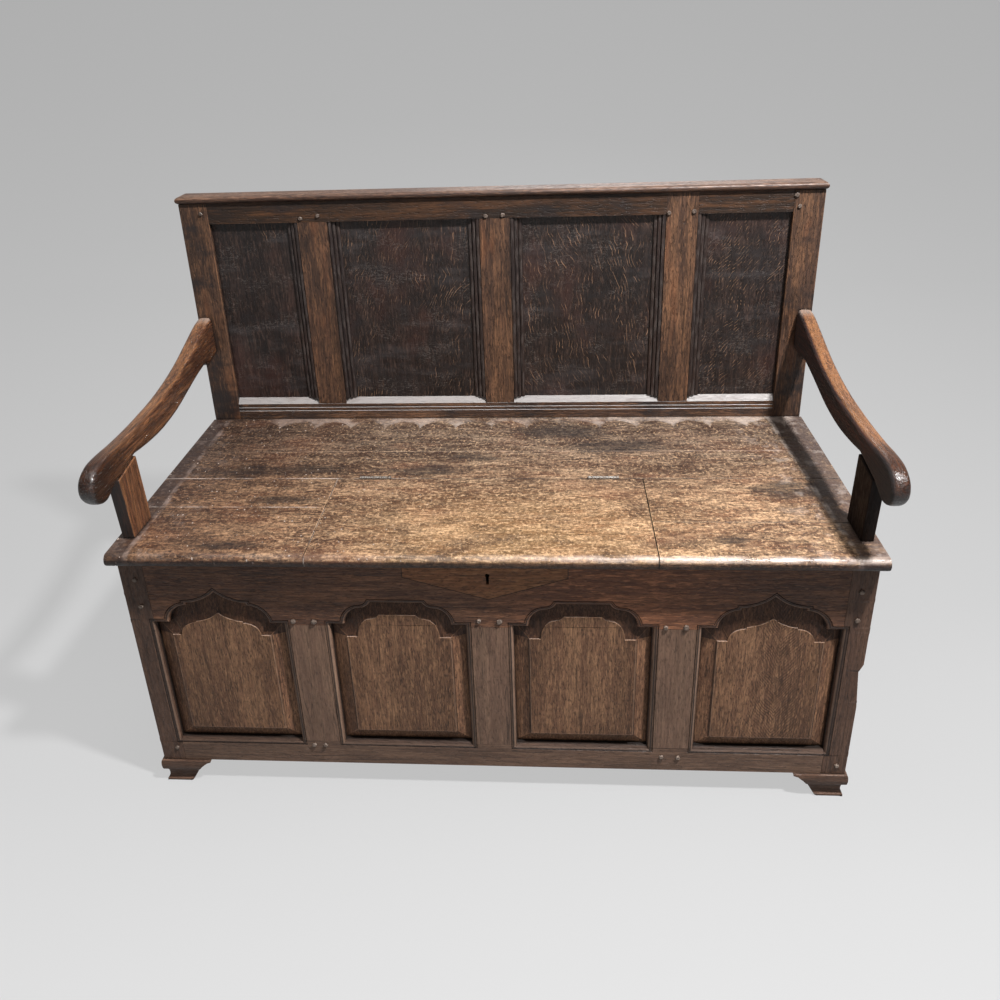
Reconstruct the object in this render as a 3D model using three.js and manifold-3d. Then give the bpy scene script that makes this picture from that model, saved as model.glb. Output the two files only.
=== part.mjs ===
// A joined oak box settle: a panelled chest with a lid in its seat, a panelled back and two arms.
// Millimetres, Z up, X to the right as seen from the front, Y towards the back, floor at zero.

import * as THREE from 'three';
import { mergeVertices } from 'three/addons/utils/BufferGeometryUtils.js';
import Module from 'manifold-3d';

const wasm = await Module();
wasm.setup();

// Overall sizes
const boxWidth = 1300;
const boxDepth = 515;
const footHeight = 55;
const frameHeight = 467;
const seatThickness = 25;
const backRise = 488;

// Fits
const fit = 0.3;
const panelPlay = 0.6;
const overrun = 6;
const weldDistance = 0.0001;

// Joinery shared by every frame
const grooveWidth = 8;
const grooveDepth = 9;
const tenonLength = 25;
const tenonInset = 12;
const tenonRoot = 8;

// Chest front
const frameThickness = 30;
const stileWidth = 44;
const stileDepth = 50;
const muntinWidth = 85;
const muntinPlace = 327;
const bottomRailHeight = 54;
const topRailHeight = 140;
const grooveFront = 15;
const wornHigh = 257;
const wornDeep = 240;
const wornLow = 160;
const wornDepth = 7;

// Moulding worked on the edges round each fielded panel: a scratched line, then a quarter round
const ovoloWidth = 10.5;
const ovoloDepth = 7.5;
const scratchWidth = 2;
const scratchDepth = 1.4;
const roundTop = 0.3;
const roundFoot = 0.6;
const ovoloSteps = 4;

// Arched heads: the flat shoulder, the bow above it and the peak or flat top
const bowSteps = 6;
const peakSteps = 6;
const peakEntry = THREE.MathUtils.degToRad(5);
const sweepSteps = 5;
const topSweep = THREE.MathUtils.degToRad(60);
const pointedOpening = { shoulder: 91, cusp: 53, bowRise: 38, step: 4, peakRise: 23 };
const pointedField = { shoulder: 74, cusp: 43, bowRise: 27, step: 3, peakRise: 19 };
const flatOpening = { shoulder: 94, cusp: 66, bowRise: 35, topHalf: 45 };
const flatField = { shoulder: 74, cusp: 47, bowRise: 40, topHalf: 33 };

// Fielded panels
const fieldMargin = 27;
const fieldDepth = 3;
const fieldStep = 2.5;

// Chest ends
const endThickness = 28;
const endTopRailHeight = 80;
const endMuntinWidth = 80;

// Rear posts, back frame and cap
const postWidth = 59;
const postDepth = 42;
const backThickness = 28;
const backGrooveFront = 11;
const backTopRailHeight = 43;
const backBottomRailHeight = 49;
const backMuntinFace = 62;
const backMuntinPlace = 375;
const reedWidth = 8;
const reedCount = 3;
const reedFall = 3;
const reedCrown = 2;
const reedSteps = 4;
const weatheringHeight = 12;
const weatheringDepth = 10.5;
const beadFall = 8;
const beadWidth = 8;
const quirkDepth = 1.4;
const capThickness = 14;
const capOverhang = 8;
const capEndOverhang = 3;
const capSteps = 6;
const chestBackRailHeight = 67;

// Seat
const seatFrontOverhang = 32;
const seatSideOverhang = 3;
const noseSteps = 6;
const hingeLine = 239;
const lidLeft = 306;
const lidRight = 285;
const lidGap = 1;
const hingeGap = 1.2;
const leftJoint = 131;
const rightJoint = 84;
const rearJoint = 353;
const jointLineDepth = 0.8;
const bearerWidth = 46;
const bearerHeight = 36;
const bearerHousing = 12;

// Arms and their supports
const armThickness = 29;
const armSetIn = 1;
const armRise = 240;
const armReach = 65;
const armRound = 8;
const armRoundSteps = 3;
const armDivisions = 2;
const armTenonThickness = 14;
const armTenonLength = 25;
const armTenonHeight = 34;
const supportThickness = 22;
const supportFoot = 24;
const supportDepth = 71;
const supportLean = 8;
const supportTenonDepth = 30;
const supportTenonRise = 14;

// Feet
const footTopWidth = 94;
const footBaseWidth = 44;
const footLip = 3;
const footSwell = 6.5;
const footNeck = 5;
const footFlare = 1.5;
const footBulge = 24;
const footToe = 5;
const footTip = 3;
const footBracketReach = 64;
const footBracketRise = 44;
const footHeelReach = 58;
const footCurveSteps = 8;

// Floor
const floorThickness = 12;
const floorRise = 22;
const floorLet = 4;

// Hinges
const hingeLength = 60;
const hingeInset = 75;
const leafThickness = 2;
const leafHeight = 22;
const barrelRadius = 3.4;
const pinRadius = 1.5;
const barrelRise = 1.5;
const knuckleCount = 5;
const barrelSides = 16;

// Lock, its patch and the lid staple
const patchLeft = 148;
const patchRight = 138;
const patchPoint = 81;
const patchShoulder = 36;
const patchThickness = 10;
const keyholeHeight = 22;
const keyholeWidth = 8;
const keyholeFoot = 5;
const keyholeFall = 27;
const keyholeSteps = 8;
const caseWidth = 80;
const caseHeight = 54;
const caseDepth = 20;
const caseWall = 2;
const caseFall = 8;
const boltLength = 30;
const boltHeight = 7;
const boltThickness = 4;
const boltFall = 16;
const boltBack = 4;
const stapleWall = 2.2;
const stapleThickness = 4;
const staplePlateLength = 50;
const staplePlateWidth = 16;
const staplePlateThickness = 2;

// Levels above the floor
const frameTop = footHeight + frameHeight;
const seatTop = frameTop + seatThickness;
const postTop = seatTop + backRise;
const sill = footHeight + bottomRailHeight;
const spring = frameTop - topRailHeight;
const endSpring = frameTop - endTopRailHeight;
const backSill = seatTop + backBottomRailHeight;
const backHead = postTop - backTopRailHeight;
const chestBackHead = frameTop - chestBackRailHeight;

// Places across and behind
const boxHalf = boxWidth / 2;
const bayEdge = boxHalf - stileWidth;
const backEdge = boxHalf - postWidth;
const seatHalf = boxHalf + seatSideOverhang;
const backMuntinHalf = backMuntinFace / 2 + reedCount * reedWidth;
const endMiddle = (stileDepth + boxDepth) / 2;
const endHalf = (boxDepth - stileDepth) / 2;
const postBack = boxDepth + postDepth;
const armInner = boxHalf - armSetIn - armThickness;
const seatNose = -seatFrontOverhang;
const lockHeight = frameTop - keyholeFall - keyholeHeight;

// Materials
const frontOak = timber(0x3b2a20);
const panelOak = timber(0x5a3f2b);
const seatOak = timber(0x6e4a2d);
const darkOak = timber(0x241a17);
const backOak = timber(0x54382a);
const armOak = timber(0x6b3a22);
const hiddenOak = timber(0x4a3626);
const iron = metal(0x34302d);
const steel = metal(0x8d8680);

function timber(color) {
  return new THREE.MeshStandardMaterial({ color, roughness: 0.5, metalness: 0 });
}

function metal(color) {
  return new THREE.MeshStandardMaterial({ color, roughness: 0.5, metalness: 1 });
}

// Solids from closed meshes, and back

function toSolid(geometry) {
  const bare = geometry.clone();
  bare.deleteAttribute('normal');
  bare.deleteAttribute('uv');
  const merged = mergeVertices(bare, weldDistance);
  const vertProperties = Float32Array.from(merged.attributes.position.array);
  const triVerts = Uint32Array.from(merged.index.array);
  return new wasm.Manifold(new wasm.Mesh({ numProp: 3, vertProperties, triVerts }));
}

function toGeometry(solid) {
  const mesh = solid.getMesh();
  const geometry = new THREE.BufferGeometry();
  geometry.setAttribute('position', new THREE.BufferAttribute(mesh.vertProperties, mesh.numProp));
  geometry.setIndex(new THREE.BufferAttribute(mesh.triVerts, 1));
  geometry.computeVertexNormals();
  return geometry;
}

function join(...solids) {
  return solids.reduce((whole, solid) => whole.add(solid));
}

function cut(solid, cutters) {
  return cutters.reduce((rest, cutter) => rest.subtract(cutter), solid);
}

// A box between two opposite corners, optionally grown on every side
function block(from, to, grow = 0) {
  const size = from.map((value, axis) => Math.abs(to[axis] - value) + 2 * grow);
  const middle = from.map((value, axis) => (to[axis] + value) / 2);
  const geometry = new THREE.BoxGeometry(...size);
  geometry.translate(...middle);
  return toSolid(geometry);
}

// An outline drawn out along one axis
function prism(points, basis, start, length) {
  const shape = new THREE.Shape(points.map(([u, v]) => new THREE.Vector2(u, v)));
  const geometry = new THREE.ExtrudeGeometry(shape, { depth: length, bevelEnabled: false });
  geometry.applyMatrix4(basis.clone().setPosition(start));
  return toSolid(geometry);
}

const alongX = new THREE.Matrix4().makeBasis(
  new THREE.Vector3(0, 1, 0), new THREE.Vector3(0, 0, 1), new THREE.Vector3(1, 0, 0));
const alongY = new THREE.Matrix4().makeBasis(
  new THREE.Vector3(1, 0, 0), new THREE.Vector3(0, 0, 1), new THREE.Vector3(0, -1, 0));
const alongZ = new THREE.Matrix4();

// Outline in Y and Z, between two places across
function prismX(points, from, to) {
  return prism(points, alongX, new THREE.Vector3(Math.min(from, to), 0, 0), Math.abs(to - from));
}

// Outline in X and Z, between two depths
function prismY(points, from, to) {
  return prism(points, alongY, new THREE.Vector3(0, Math.max(from, to), 0), Math.abs(to - from));
}

// Outline in X and Y, between two levels
function prismZ(points, from, to) {
  return prism(points, alongZ, new THREE.Vector3(0, 0, Math.min(from, to)), Math.abs(to - from));
}

// A closed skin through outlines in X and Z with equal point counts, each at its own depth
function loft(rings) {
  const count = rings[0].outline.length;
  const positions = rings.flatMap(({ outline, depth }) => outline.flatMap(([x, z]) => [x, depth, z]));
  const index = [];
  for (let ring = 0; ring + 1 < rings.length; ring += 1) {
    for (let i = 0; i < count; i += 1) {
      const a = ring * count + i;
      const b = ring * count + (i + 1) % count;
      index.push(a, b + count, b, a, a + count, b + count);
    }
  }
  const last = (rings.length - 1) * count;
  for (const [a, b, c] of facesOf(rings[0].outline)) {
    index.push(a, b, c);
  }
  for (const [a, b, c] of facesOf(rings[rings.length - 1].outline)) {
    index.push(last + a, last + c, last + b);
  }
  const geometry = new THREE.BufferGeometry();
  geometry.setAttribute('position', new THREE.Float32BufferAttribute(positions, 3));
  geometry.setIndex(index);
  return geometry;
}

function facesOf(outline) {
  const contour = outline.map(([x, z]) => new THREE.Vector2(x, z));
  return THREE.ShapeUtils.triangulateShape(contour, []);
}

// An outline moved out square to its edges, or in where the distance is negative
function offsetOutline(points, distance) {
  return points.map((point, i) => {
    const before = edgeNormal(points.at(i - 1), point);
    const after = edgeNormal(point, points[(i + 1) % points.length]);
    const reach = distance / (1 + before.dot(after));
    return [point[0] + (before.x + after.x) * reach, point[1] + (before.y + after.y) * reach];
  });
}

function edgeNormal(from, to) {
  return new THREE.Vector2(to[1] - from[1], from[0] - to[0]).normalize();
}

function mirrorOutline(points) {
  return points.map(([x, z]) => [-x, z]).reverse();
}

// Heads of the bays

// The rounded bow from the shoulder up to the cusp, ending short of it by the given reach
function bow(head, springLevel, out, reach = 0) {
  const width = head.shoulder - head.cusp + out;
  const height = head.bowRise + out;
  const start = Math.asin(out / height);
  const end = Math.acos(reach / width);
  const points = [];
  for (let i = 0; i <= bowSteps; i += 1) {
    const angle = THREE.MathUtils.lerp(start, end, i / bowSteps);
    points.push([head.cusp + width * Math.cos(angle), springLevel + height * Math.sin(angle)]);
  }
  return points;
}

// Right half of a pointed head: bow, small step, then a hollow curve up to the peak
function pointedHead(head, springLevel, out) {
  const foot = springLevel + head.bowRise + head.step;
  const chord = Math.hypot(head.cusp, head.peakRise);
  const chordSlope = Math.atan2(head.peakRise, head.cusp);
  const radius = chord / 2 / Math.sin(chordSlope - peakEntry);
  const centreX = head.cusp + radius * Math.sin(peakEntry);
  const centreZ = foot + radius * Math.cos(peakEntry);
  const begin = Math.asin((centreX - head.cusp - out) / (radius - out));
  const finish = Math.asin(centreX / (radius - out));
  const points = bow(head, springLevel, out, out);
  for (let i = 0; i <= peakSteps; i += 1) {
    const angle = THREE.MathUtils.lerp(begin, finish, i / peakSteps);
    const x = centreX - (radius - out) * Math.sin(angle);
    points.push([i === peakSteps ? 0 : x, centreZ - (radius - out) * Math.cos(angle)]);
  }
  return points;
}

// Right half of a flat head: bow, then a hollow curve up to the end of the flat top
function flatHead(head, springLevel, out) {
  const radius = (head.cusp - head.topHalf) / Math.sin(topSweep);
  const centreZ = springLevel + head.bowRise + radius;
  const top = centreZ - radius * Math.cos(topSweep) + out;
  const points = bow(head, springLevel, out);
  for (let i = 1; i < sweepSteps; i += 1) {
    const angle = topSweep * i / sweepSteps;
    points.push([head.cusp - (radius - out) * Math.sin(angle), centreZ - (radius - out) * Math.cos(angle)]);
  }
  const endX = head.cusp - (radius - out) * Math.sin(topSweep);
  const endZ = centreZ - (radius - out) * Math.cos(topSweep);
  points.push([endX - (top - endZ) / Math.tan(topSweep), top]);
  return points;
}

// A bay's outline, counter-clockwise from its lower left corner, moved out from its edges
function bayOutline(bay, out, sillOut = out) {
  const side = bay.halfWidth + out;
  const low = bay.sill - sillOut;
  const shoulder = [side, bay.spring + out];
  const right = bay.headHalf ? [shoulder, ...bay.headHalf(bay.head, bay.spring, out)] : [shoulder];
  const left = mirrorOutline(right);
  const fromPeak = right.at(-1)[0] === 0 ? left.slice(1) : left;
  const outline = [[-side, low], [side, low], ...right, ...fromPeak];
  return outline.map(([x, z]) => [x + bay.centre, z]);
}

// Moulding section: a scratched line, a quarter round and a fillet; at the sill a plain slope
function ovoloProfile() {
  const start = ovoloWidth - scratchWidth;
  const fall = ovoloDepth - roundTop;
  const line = [[ovoloWidth, 0], [ovoloWidth - scratchWidth / 2, scratchDepth]];
  const steps = line.map(([out, depth]) => ({ out, depth, sillOut: out }));
  for (let i = 0; i <= ovoloSteps; i += 1) {
    const angle = Math.PI / 2 * i / ovoloSteps;
    const drop = fall * (1 - Math.cos(angle));
    const out = start - (start - roundFoot) * Math.sin(angle);
    steps.push({ out, depth: roundTop + drop, sillOut: start - (start - roundFoot) * drop / fall });
  }
  return [...steps, { out: 0, depth: ovoloDepth, sillOut: 0 }];
}

// What one bay takes out of the members round it: the moulded opening and the panel groove
function bayCutters(bay, thickness, place = new THREE.Matrix4()) {
  const steps = ovoloProfile();
  const front = { ...steps[0], depth: -overrun };
  const back = { out: 0, sillOut: 0, depth: thickness + overrun };
  const opening = [front, ...steps, back].map(({ out, sillOut, depth }) => ({
    outline: bayOutline(bay, out, sillOut), depth,
  }));
  const groove = [grooveFront, grooveFront + grooveWidth].map((depth) => ({
    outline: bayOutline(bay, grooveDepth), depth,
  }));
  return [opening, groove].map((rings) => toSolid(loft(rings).applyMatrix4(place)));
}

// A raised and fielded panel with its tongue in the groove
function fieldedPanel(bay) {
  const own = { ...bay, centre: 0 };
  const field = {
    ...own,
    halfWidth: bay.halfWidth - fieldMargin,
    sill: bay.sill + fieldMargin,
    spring: bay.spring - fieldMargin,
    head: bay.fieldHead,
  };
  const tongue = grooveDepth - panelPlay;
  const front = grooveFront + fit;
  const back = grooveFront + grooveWidth - fit;
  return toSolid(loft([
    { outline: bayOutline(field, 0), depth: fieldDepth },
    { outline: bayOutline(field, 0), depth: fieldDepth + fieldStep },
    { outline: bayOutline(own, -panelPlay), depth: front },
    { outline: bayOutline(own, tongue), depth: front },
    { outline: bayOutline(own, tongue), depth: back },
  ]));
}

// Bays of the front, and of one end in its own view

function frontBay(place, innerEdge, outerEdge, headHalf, head, fieldHead) {
  return {
    centre: place * (innerEdge + outerEdge) / 2,
    halfWidth: (outerEdge - innerEdge) / 2,
    sill, spring, headHalf, head, fieldHead,
  };
}

const innerBay = [muntinWidth / 2, muntinPlace - muntinWidth / 2, flatHead, flatOpening, flatField];
const outerBay = [muntinPlace + muntinWidth / 2, bayEdge, pointedHead, pointedOpening, pointedField];
const frontBays = {
  outer_left: frontBay(-1, ...outerBay),
  inner_left: frontBay(-1, ...innerBay),
  inner_right: frontBay(1, ...innerBay),
  outer_right: frontBay(1, ...outerBay),
};
const endBays = [-1, 1].map((place) => ({
  centre: place * (endMuntinWidth / 2 + endHalf) / 2,
  halfWidth: (endHalf - endMuntinWidth / 2) / 2,
  sill,
  spring: endSpring,
}));

// The end's own view placed on the left side for -1, on the right for 1
function endPlace(side) {
  const turn = new THREE.Matrix4().makeRotationZ(side * Math.PI / 2);
  return turn.setPosition(side * boxHalf, endMiddle, 0);
}

const frontCutters = Object.values(frontBays).flatMap((bay) => bayCutters(bay, frameThickness));
const endCutters = { '-1': endBayCutters(-1), 1: endBayCutters(1) };

function endBayCutters(side) {
  return endBays.flatMap((bay) => bayCutters(bay, endThickness, endPlace(side)));
}

// Tenons, as corner pairs that the mortises share

function frontTenon(side, low, high) {
  return [
    [side * (bayEdge - tenonRoot), grooveFront, low + tenonInset],
    [side * (bayEdge + tenonLength), grooveFront + grooveWidth, high - tenonInset],
  ];
}

function backTenon(side, low, high) {
  const front = boxDepth + backGrooveFront;
  return [
    [side * (backEdge - tenonRoot), front, low + tenonInset],
    [side * (backEdge + tenonLength), front + grooveWidth, high - tenonInset],
  ];
}

function endTenon(side, edge, way, low, high) {
  const outer = boxHalf - grooveFront;
  return [
    [side * outer, edge - way * tenonRoot, low + tenonInset],
    [side * (outer - grooveWidth), edge + way * tenonLength, high - tenonInset],
  ];
}

function uprightTenon(centre, half, front, level, way) {
  return [
    [centre - half, front, level - way * tenonRoot],
    [centre + half, front + grooveWidth, level + way * tenonLength],
  ];
}

const mortise = ([from, to]) => block(from, to, fit);
const tenon = ([from, to]) => block(from, to);

const sides = [-1, 1];
const frontTopTenons = sides.map((side) => frontTenon(side, spring, frameTop));
const frontBottomTenons = sides.map((side) => frontTenon(side, footHeight, sill));
const backTopTenons = sides.map((side) => backTenon(side, backHead - tenonInset / 2, postTop));
const backBottomTenons = sides.map((side) => backTenon(side, seatTop, backSill));
const chestBackTopTenons = sides.map((side) => backTenon(side, chestBackHead, frameTop));
const chestBackBottomTenons = sides.map((side) => backTenon(side, footHeight, sill));

function endTenons(side, low, high) {
  return [endTenon(side, stileDepth, -1, low, high), endTenon(side, boxDepth, 1, low, high)];
}

// The floor board, let into the rails and notched round the corner posts
function floorOutline(grow) {
  const sideReach = boxHalf - endThickness + floorLet + grow;
  const frontReach = frameThickness - floorLet - grow;
  const backReach = boxDepth + floorLet + grow;
  const frontNotch = bayEdge - fit + grow;
  const backNotch = backEdge - fit + grow;
  const right = [
    [frontNotch, frontReach],
    [frontNotch, stileDepth + fit - grow],
    [sideReach, stileDepth + fit - grow],
    [sideReach, boxDepth - fit + grow],
    [backNotch, boxDepth - fit + grow],
    [backNotch, backReach],
  ];
  return [...right, ...mirrorOutline(right)];
}

const floorLow = footHeight + floorRise;
const floorBoard = prismZ(floorOutline(0), floorLow, floorLow + floorThickness);
const floorGroove = prismZ(floorOutline(fit), floorLow - fit, floorLow + floorThickness + fit);

// Chest front

const muntinTenonHalf = muntinWidth / 2 - grooveDepth - tenonRoot / 2;
const muntinCentres = { left: -muntinPlace, centre: 0, right: muntinPlace };

function muntinTenons(centre) {
  return [
    uprightTenon(centre, muntinTenonHalf, grooveFront, spring - fit, 1),
    uprightTenon(centre, muntinTenonHalf, grooveFront, sill + fit, -1),
  ];
}

const allMuntinMortises = Object.values(muntinCentres).flatMap((centre) => muntinTenons(centre).map(mortise));

function frontStile(side) {
  const body = block([side * bayEdge, 0, footHeight], [side * boxHalf, stileDepth, frameTop]);
  const mortises = [frontTopTenons, frontBottomTenons].flat().map(mortise);
  const endMortises = [...endTenons(side, endSpring, frameTop), ...endTenons(side, footHeight, sill)];
  return cut(body, [...mortises, ...endMortises.map(mortise), ...frontCutters, ...endCutters[side]]);
}

// The hollow worn into the right stile's outer arris
function wornHollow() {
  const outline = [
    [boxHalf + overrun, footHeight + wornHigh + overrun],
    [boxHalf, footHeight + wornHigh],
    [boxHalf - wornDepth, footHeight + wornDeep],
    [boxHalf, footHeight + wornLow],
    [boxHalf + overrun, footHeight + wornLow - overrun],
  ];
  return prismY(outline, -overrun, stileDepth + overrun);
}

function frontRail(low, high, tenons) {
  const half = bayEdge - fit;
  const body = join(block([-half, 0, low], [half, frameThickness, high]), ...tenons.map(tenon));
  return cut(body, [...frontCutters, ...allMuntinMortises]);
}

function frontTopRail() {
  const recess = prismY(patchOutline(fit), -overrun, patchThickness + fit);
  const housings = sides.map((side) => bearerBlock(side, fit));
  return cut(frontRail(spring, frameTop, frontTopTenons), [recess, keyhole(), ...housings]);
}

function frontBottomRail() {
  return cut(frontRail(footHeight, sill, frontBottomTenons), [floorGroove]);
}

function frontMuntin(centre) {
  const half = muntinWidth / 2 + overrun;
  const low = [centre - half, 0, sill + fit];
  const body = join(block(low, [centre + half, frameThickness, spring - fit]),
    ...muntinTenons(centre).map(tenon));
  return cut(body, frontCutters);
}

// The let-in patch round the keyhole

function patchOutline(grow) {
  const shoulder = frameTop - patchShoulder;
  const outline = [
    [-patchLeft, frameTop],
    [-patchLeft, shoulder],
    [0, frameTop - patchPoint],
    [patchRight, shoulder],
    [patchRight, frameTop],
  ];
  return offsetOutline(outline, grow);
}

// Keyhole: a round eye over a narrower slot
function keyhole() {
  const eye = keyholeWidth / 2;
  const eyeLevel = frameTop - keyholeFall - eye;
  const points = [[-keyholeFoot / 2, lockHeight], [keyholeFoot / 2, lockHeight]];
  const start = -Math.acos(keyholeFoot / keyholeWidth);
  for (let i = 0; i <= keyholeSteps; i += 1) {
    const angle = THREE.MathUtils.lerp(start, Math.PI - start, i / keyholeSteps);
    points.push([eye * Math.cos(angle), eyeLevel + eye * Math.sin(angle)]);
  }
  return prismY(points, -overrun, frameThickness + overrun);
}

function lockPatch() {
  return prismY(patchOutline(0), 0, patchThickness).subtract(keyhole());
}

// Feet, drawn for the right side about the stile's outer lower edge

function footOutline(side) {
  const shape = new THREE.Shape();
  const top = footHeight - fit;
  const waist = footHeight - footBulge;
  shape.moveTo(footFlare, 0);
  shape.lineTo(footFlare, footToe);
  shape.bezierCurveTo(-footNeck, footToe, -footNeck, waist, footLip, waist);
  shape.bezierCurveTo(footSwell, waist, footSwell, top, footLip, top);
  shape.lineTo(-footTopWidth, top);
  shape.lineTo(-footTopWidth, top - footTip);
  shape.bezierCurveTo(-footBracketReach, footBracketRise, -footHeelReach, 0, -footBaseWidth, 0);
  return shape.getPoints(footCurveSteps).map(({ x, y }) => [side * x, y]);
}

function frontFoot(side) {
  const across = prismY(footOutline(side), -footTopWidth, footTopWidth * 2);
  const along = prismX(footOutline(-1), -footTopWidth * 2, footTopWidth * 2);
  return across.intersect(along);
}

// Chest ends

function endTopRail(side) {
  return endRail(side, endSpring, frameTop).subtract(mortise(supportTenon(side)));
}

function endBottomRail(side) {
  return endRail(side, footHeight, sill).subtract(floorGroove);
}

function endRail(side, low, high) {
  const front = [side * (boxHalf - endThickness), stileDepth + fit, low];
  const body = block(front, [side * boxHalf, boxDepth - fit, high]);
  const whole = join(body, ...endTenons(side, low, high).map(tenon));
  return cut(whole, [...endCutters[side], ...endMuntinTenons(side).map(mortise)]);
}

function endMuntinTenons(side) {
  const outer = boxHalf - grooveFront;
  const half = endMuntinWidth / 2 - grooveDepth - tenonRoot / 2;
  return [[endSpring - fit, 1], [sill + fit, -1]].map(([level, way]) => [
    [side * outer, endMiddle - half, level - way * tenonRoot],
    [side * (outer - grooveWidth), endMiddle + half, level + way * tenonLength],
  ]);
}

function endMuntin(side) {
  const half = endMuntinWidth / 2 + overrun;
  const low = [side * (boxHalf - endThickness), endMiddle - half, sill + fit];
  const body = block(low, [side * boxHalf, endMiddle + half, endSpring - fit]);
  return cut(join(body, ...endMuntinTenons(side).map(tenon)), endCutters[side]);
}

// Rear posts, back frame and chest back

const backPanelOpenings = [
  ['outer_left', -backEdge, -backMuntinPlace - backMuntinHalf],
  ['inner_left', -backMuntinPlace + backMuntinHalf, -backMuntinHalf],
  ['inner_right', backMuntinHalf, backMuntinPlace - backMuntinHalf],
  ['outer_right', backMuntinPlace + backMuntinHalf, backEdge],
];

// A flat board in its grooves, or the grooves themselves
function boardIn(left, right, low, high, reach, play) {
  const front = boxDepth + backGrooveFront + play;
  const back = boxDepth + backGrooveFront + grooveWidth - play;
  return block([left - reach, front, low - reach], [right + reach, back, high + reach]);
}

const backGrooves = backPanelOpenings.map(([, left, right]) => (
  boardIn(left, right, backSill, backHead, grooveDepth, 0)));
const chestBackGroove = boardIn(-backEdge, backEdge, sill, chestBackHead, grooveDepth, 0);

function backPanel(left, right) {
  return boardIn(left, right, backSill, backHead, grooveDepth - panelPlay, fit);
}

function chestBackBoard() {
  return boardIn(-backEdge, backEdge, sill, chestBackHead, grooveDepth - panelPlay, fit);
}

function rearPost(side) {
  const body = block([side * backEdge, boxDepth, 0], [side * boxHalf, postBack, postTop]);
  const rails = [backTopTenons, backBottomTenons, chestBackTopTenons, chestBackBottomTenons].flat();
  const ends = [...endTenons(side, endSpring, frameTop), ...endTenons(side, footHeight, sill)];
  const mortises = [...rails, ...ends, armTenon(side)].map(mortise);
  return cut(body, [...mortises, ...backGrooves, chestBackGroove, ...endCutters[side]]);
}

function chestBackRail(low, high, tenons) {
  const half = backEdge - fit;
  const body = block([-half, boxDepth, low], [half, boxDepth + backThickness, high]);
  return cut(join(body, ...tenons.map(tenon)), [chestBackGroove, floorGroove]);
}

function chestBackTopRail() {
  const housings = sides.map((side) => bearerBlock(side, fit));
  return cut(chestBackRail(chestBackHead, frameTop, chestBackTopTenons), housings);
}

// Bottom rail of the back: a scratched bead and a weathered upper edge
function backBottomRail() {
  const front = boxDepth;
  const arris = backSill - weatheringHeight;
  const beadTop = arris - beadFall;
  const beadLow = beadTop - beadWidth;
  const section = [
    [front, seatTop + fit],
    [front, beadLow - quirkDepth],
    [front + quirkDepth, beadLow],
    [front, beadLow + quirkDepth],
    [front, beadTop - quirkDepth],
    [front + quirkDepth, beadTop],
    [front, beadTop + quirkDepth],
    [front, arris],
    [front + weatheringDepth, backSill],
    [front + backThickness, backSill],
    [front + backThickness, seatTop + fit],
  ];
  const half = backEdge - fit;
  const body = join(prismX(section, -half, half), ...backBottomTenons.map(tenon));
  return cut(body, [...backGrooves, ...backMuntinFeet.map(mortise)]);
}

const backMuntinCentres = { left: -backMuntinPlace, centre: 0, right: backMuntinPlace };
const backTenonFront = boxDepth + backGrooveFront;
const backTenonHalf = backMuntinFace / 2;
const backMuntinFeet = Object.values(backMuntinCentres).map((centre) => (
  uprightTenon(centre, backTenonHalf, backTenonFront, backSill + fit, -1)));
const backMuntinHeads = [-backMuntinPlace, 0].map((centre) => (
  uprightTenon(centre, backTenonHalf, backTenonFront, backHead - fit, 1)));

// The rails meet the right muntin, which runs up between them to the cap
const throughEdges = { left: backMuntinPlace - backMuntinFace / 2, right: backMuntinPlace + backMuntinFace / 2 };
const throughReach = backMuntinFace / 2 - tenonRoot;
const throughTenons = [[throughEdges.left, 1], [throughEdges.right, -1]].map(([edge, way]) => [
  [edge - way * tenonRoot, backTenonFront, backHead + tenonInset / 2],
  [edge + way * throughReach, backTenonFront + grooveWidth, postTop - tenonInset],
]);

function backTopRail(left, right, tenons) {
  const body = block([left, boxDepth, backHead], [right, boxDepth + backThickness, postTop]);
  return cut(join(body, ...tenons.map(tenon)), [...backGrooves, ...backMuntinHeads.map(mortise)]);
}

function backTopRailLong() {
  return backTopRail(-backEdge + fit, throughEdges.left - fit, [backTopTenons[0], throughTenons[0]]);
}

function backTopRailShort() {
  return backTopRail(throughEdges.right + fit, backEdge - fit, [backTopTenons[1], throughTenons[1]]);
}

// Half section of a muntin of the back: a flat face, then reeds stepping down to the panel
function reededEdge() {
  const face = backMuntinFace / 2;
  const points = [[face, 0]];
  for (let reed = 0; reed < reedCount; reed += 1) {
    const start = face + reed * reedWidth;
    const depth = (reed + 1) * reedFall;
    for (let i = 0; i <= reedSteps; i += 1) {
      const angle = Math.PI * i / reedSteps;
      const x = start + reedWidth * (1 - Math.cos(angle)) / 2;
      points.push([x, depth - reedCrown * Math.sin(angle)]);
    }
  }
  return points;
}

function backMuntin(centre) {
  const right = [...reededEdge(), [backMuntinHalf, backThickness]].reverse();
  const section = [...right, ...mirrorOutline(right)];
  const placed = section.map(([x, y]) => [x + centre, y + boxDepth]);
  const shaft = prismZ(placed, backSill + fit, backHead - fit);
  const half = backMuntinFace / 2;
  const reach = weatheringHeight * (1 - fit / weatheringDepth);
  const lip = prismX([
    [boxDepth, backSill + overrun],
    [boxDepth, backSill + fit - reach],
    [boxDepth + weatheringDepth - fit, backSill + fit],
    [boxDepth + weatheringDepth - fit, backSill + overrun],
  ], centre - half, centre + half);
  const foot = uprightTenon(centre, backTenonHalf, backTenonFront, backSill + fit, -1);
  return cut(join(shaft, lip, tenon(foot)), backGrooves);
}

function backMuntinWithHead(centre) {
  const head = uprightTenon(centre, backTenonHalf, backTenonFront, backHead - fit, 1);
  return join(backMuntin(centre), tenon(head));
}

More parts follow.
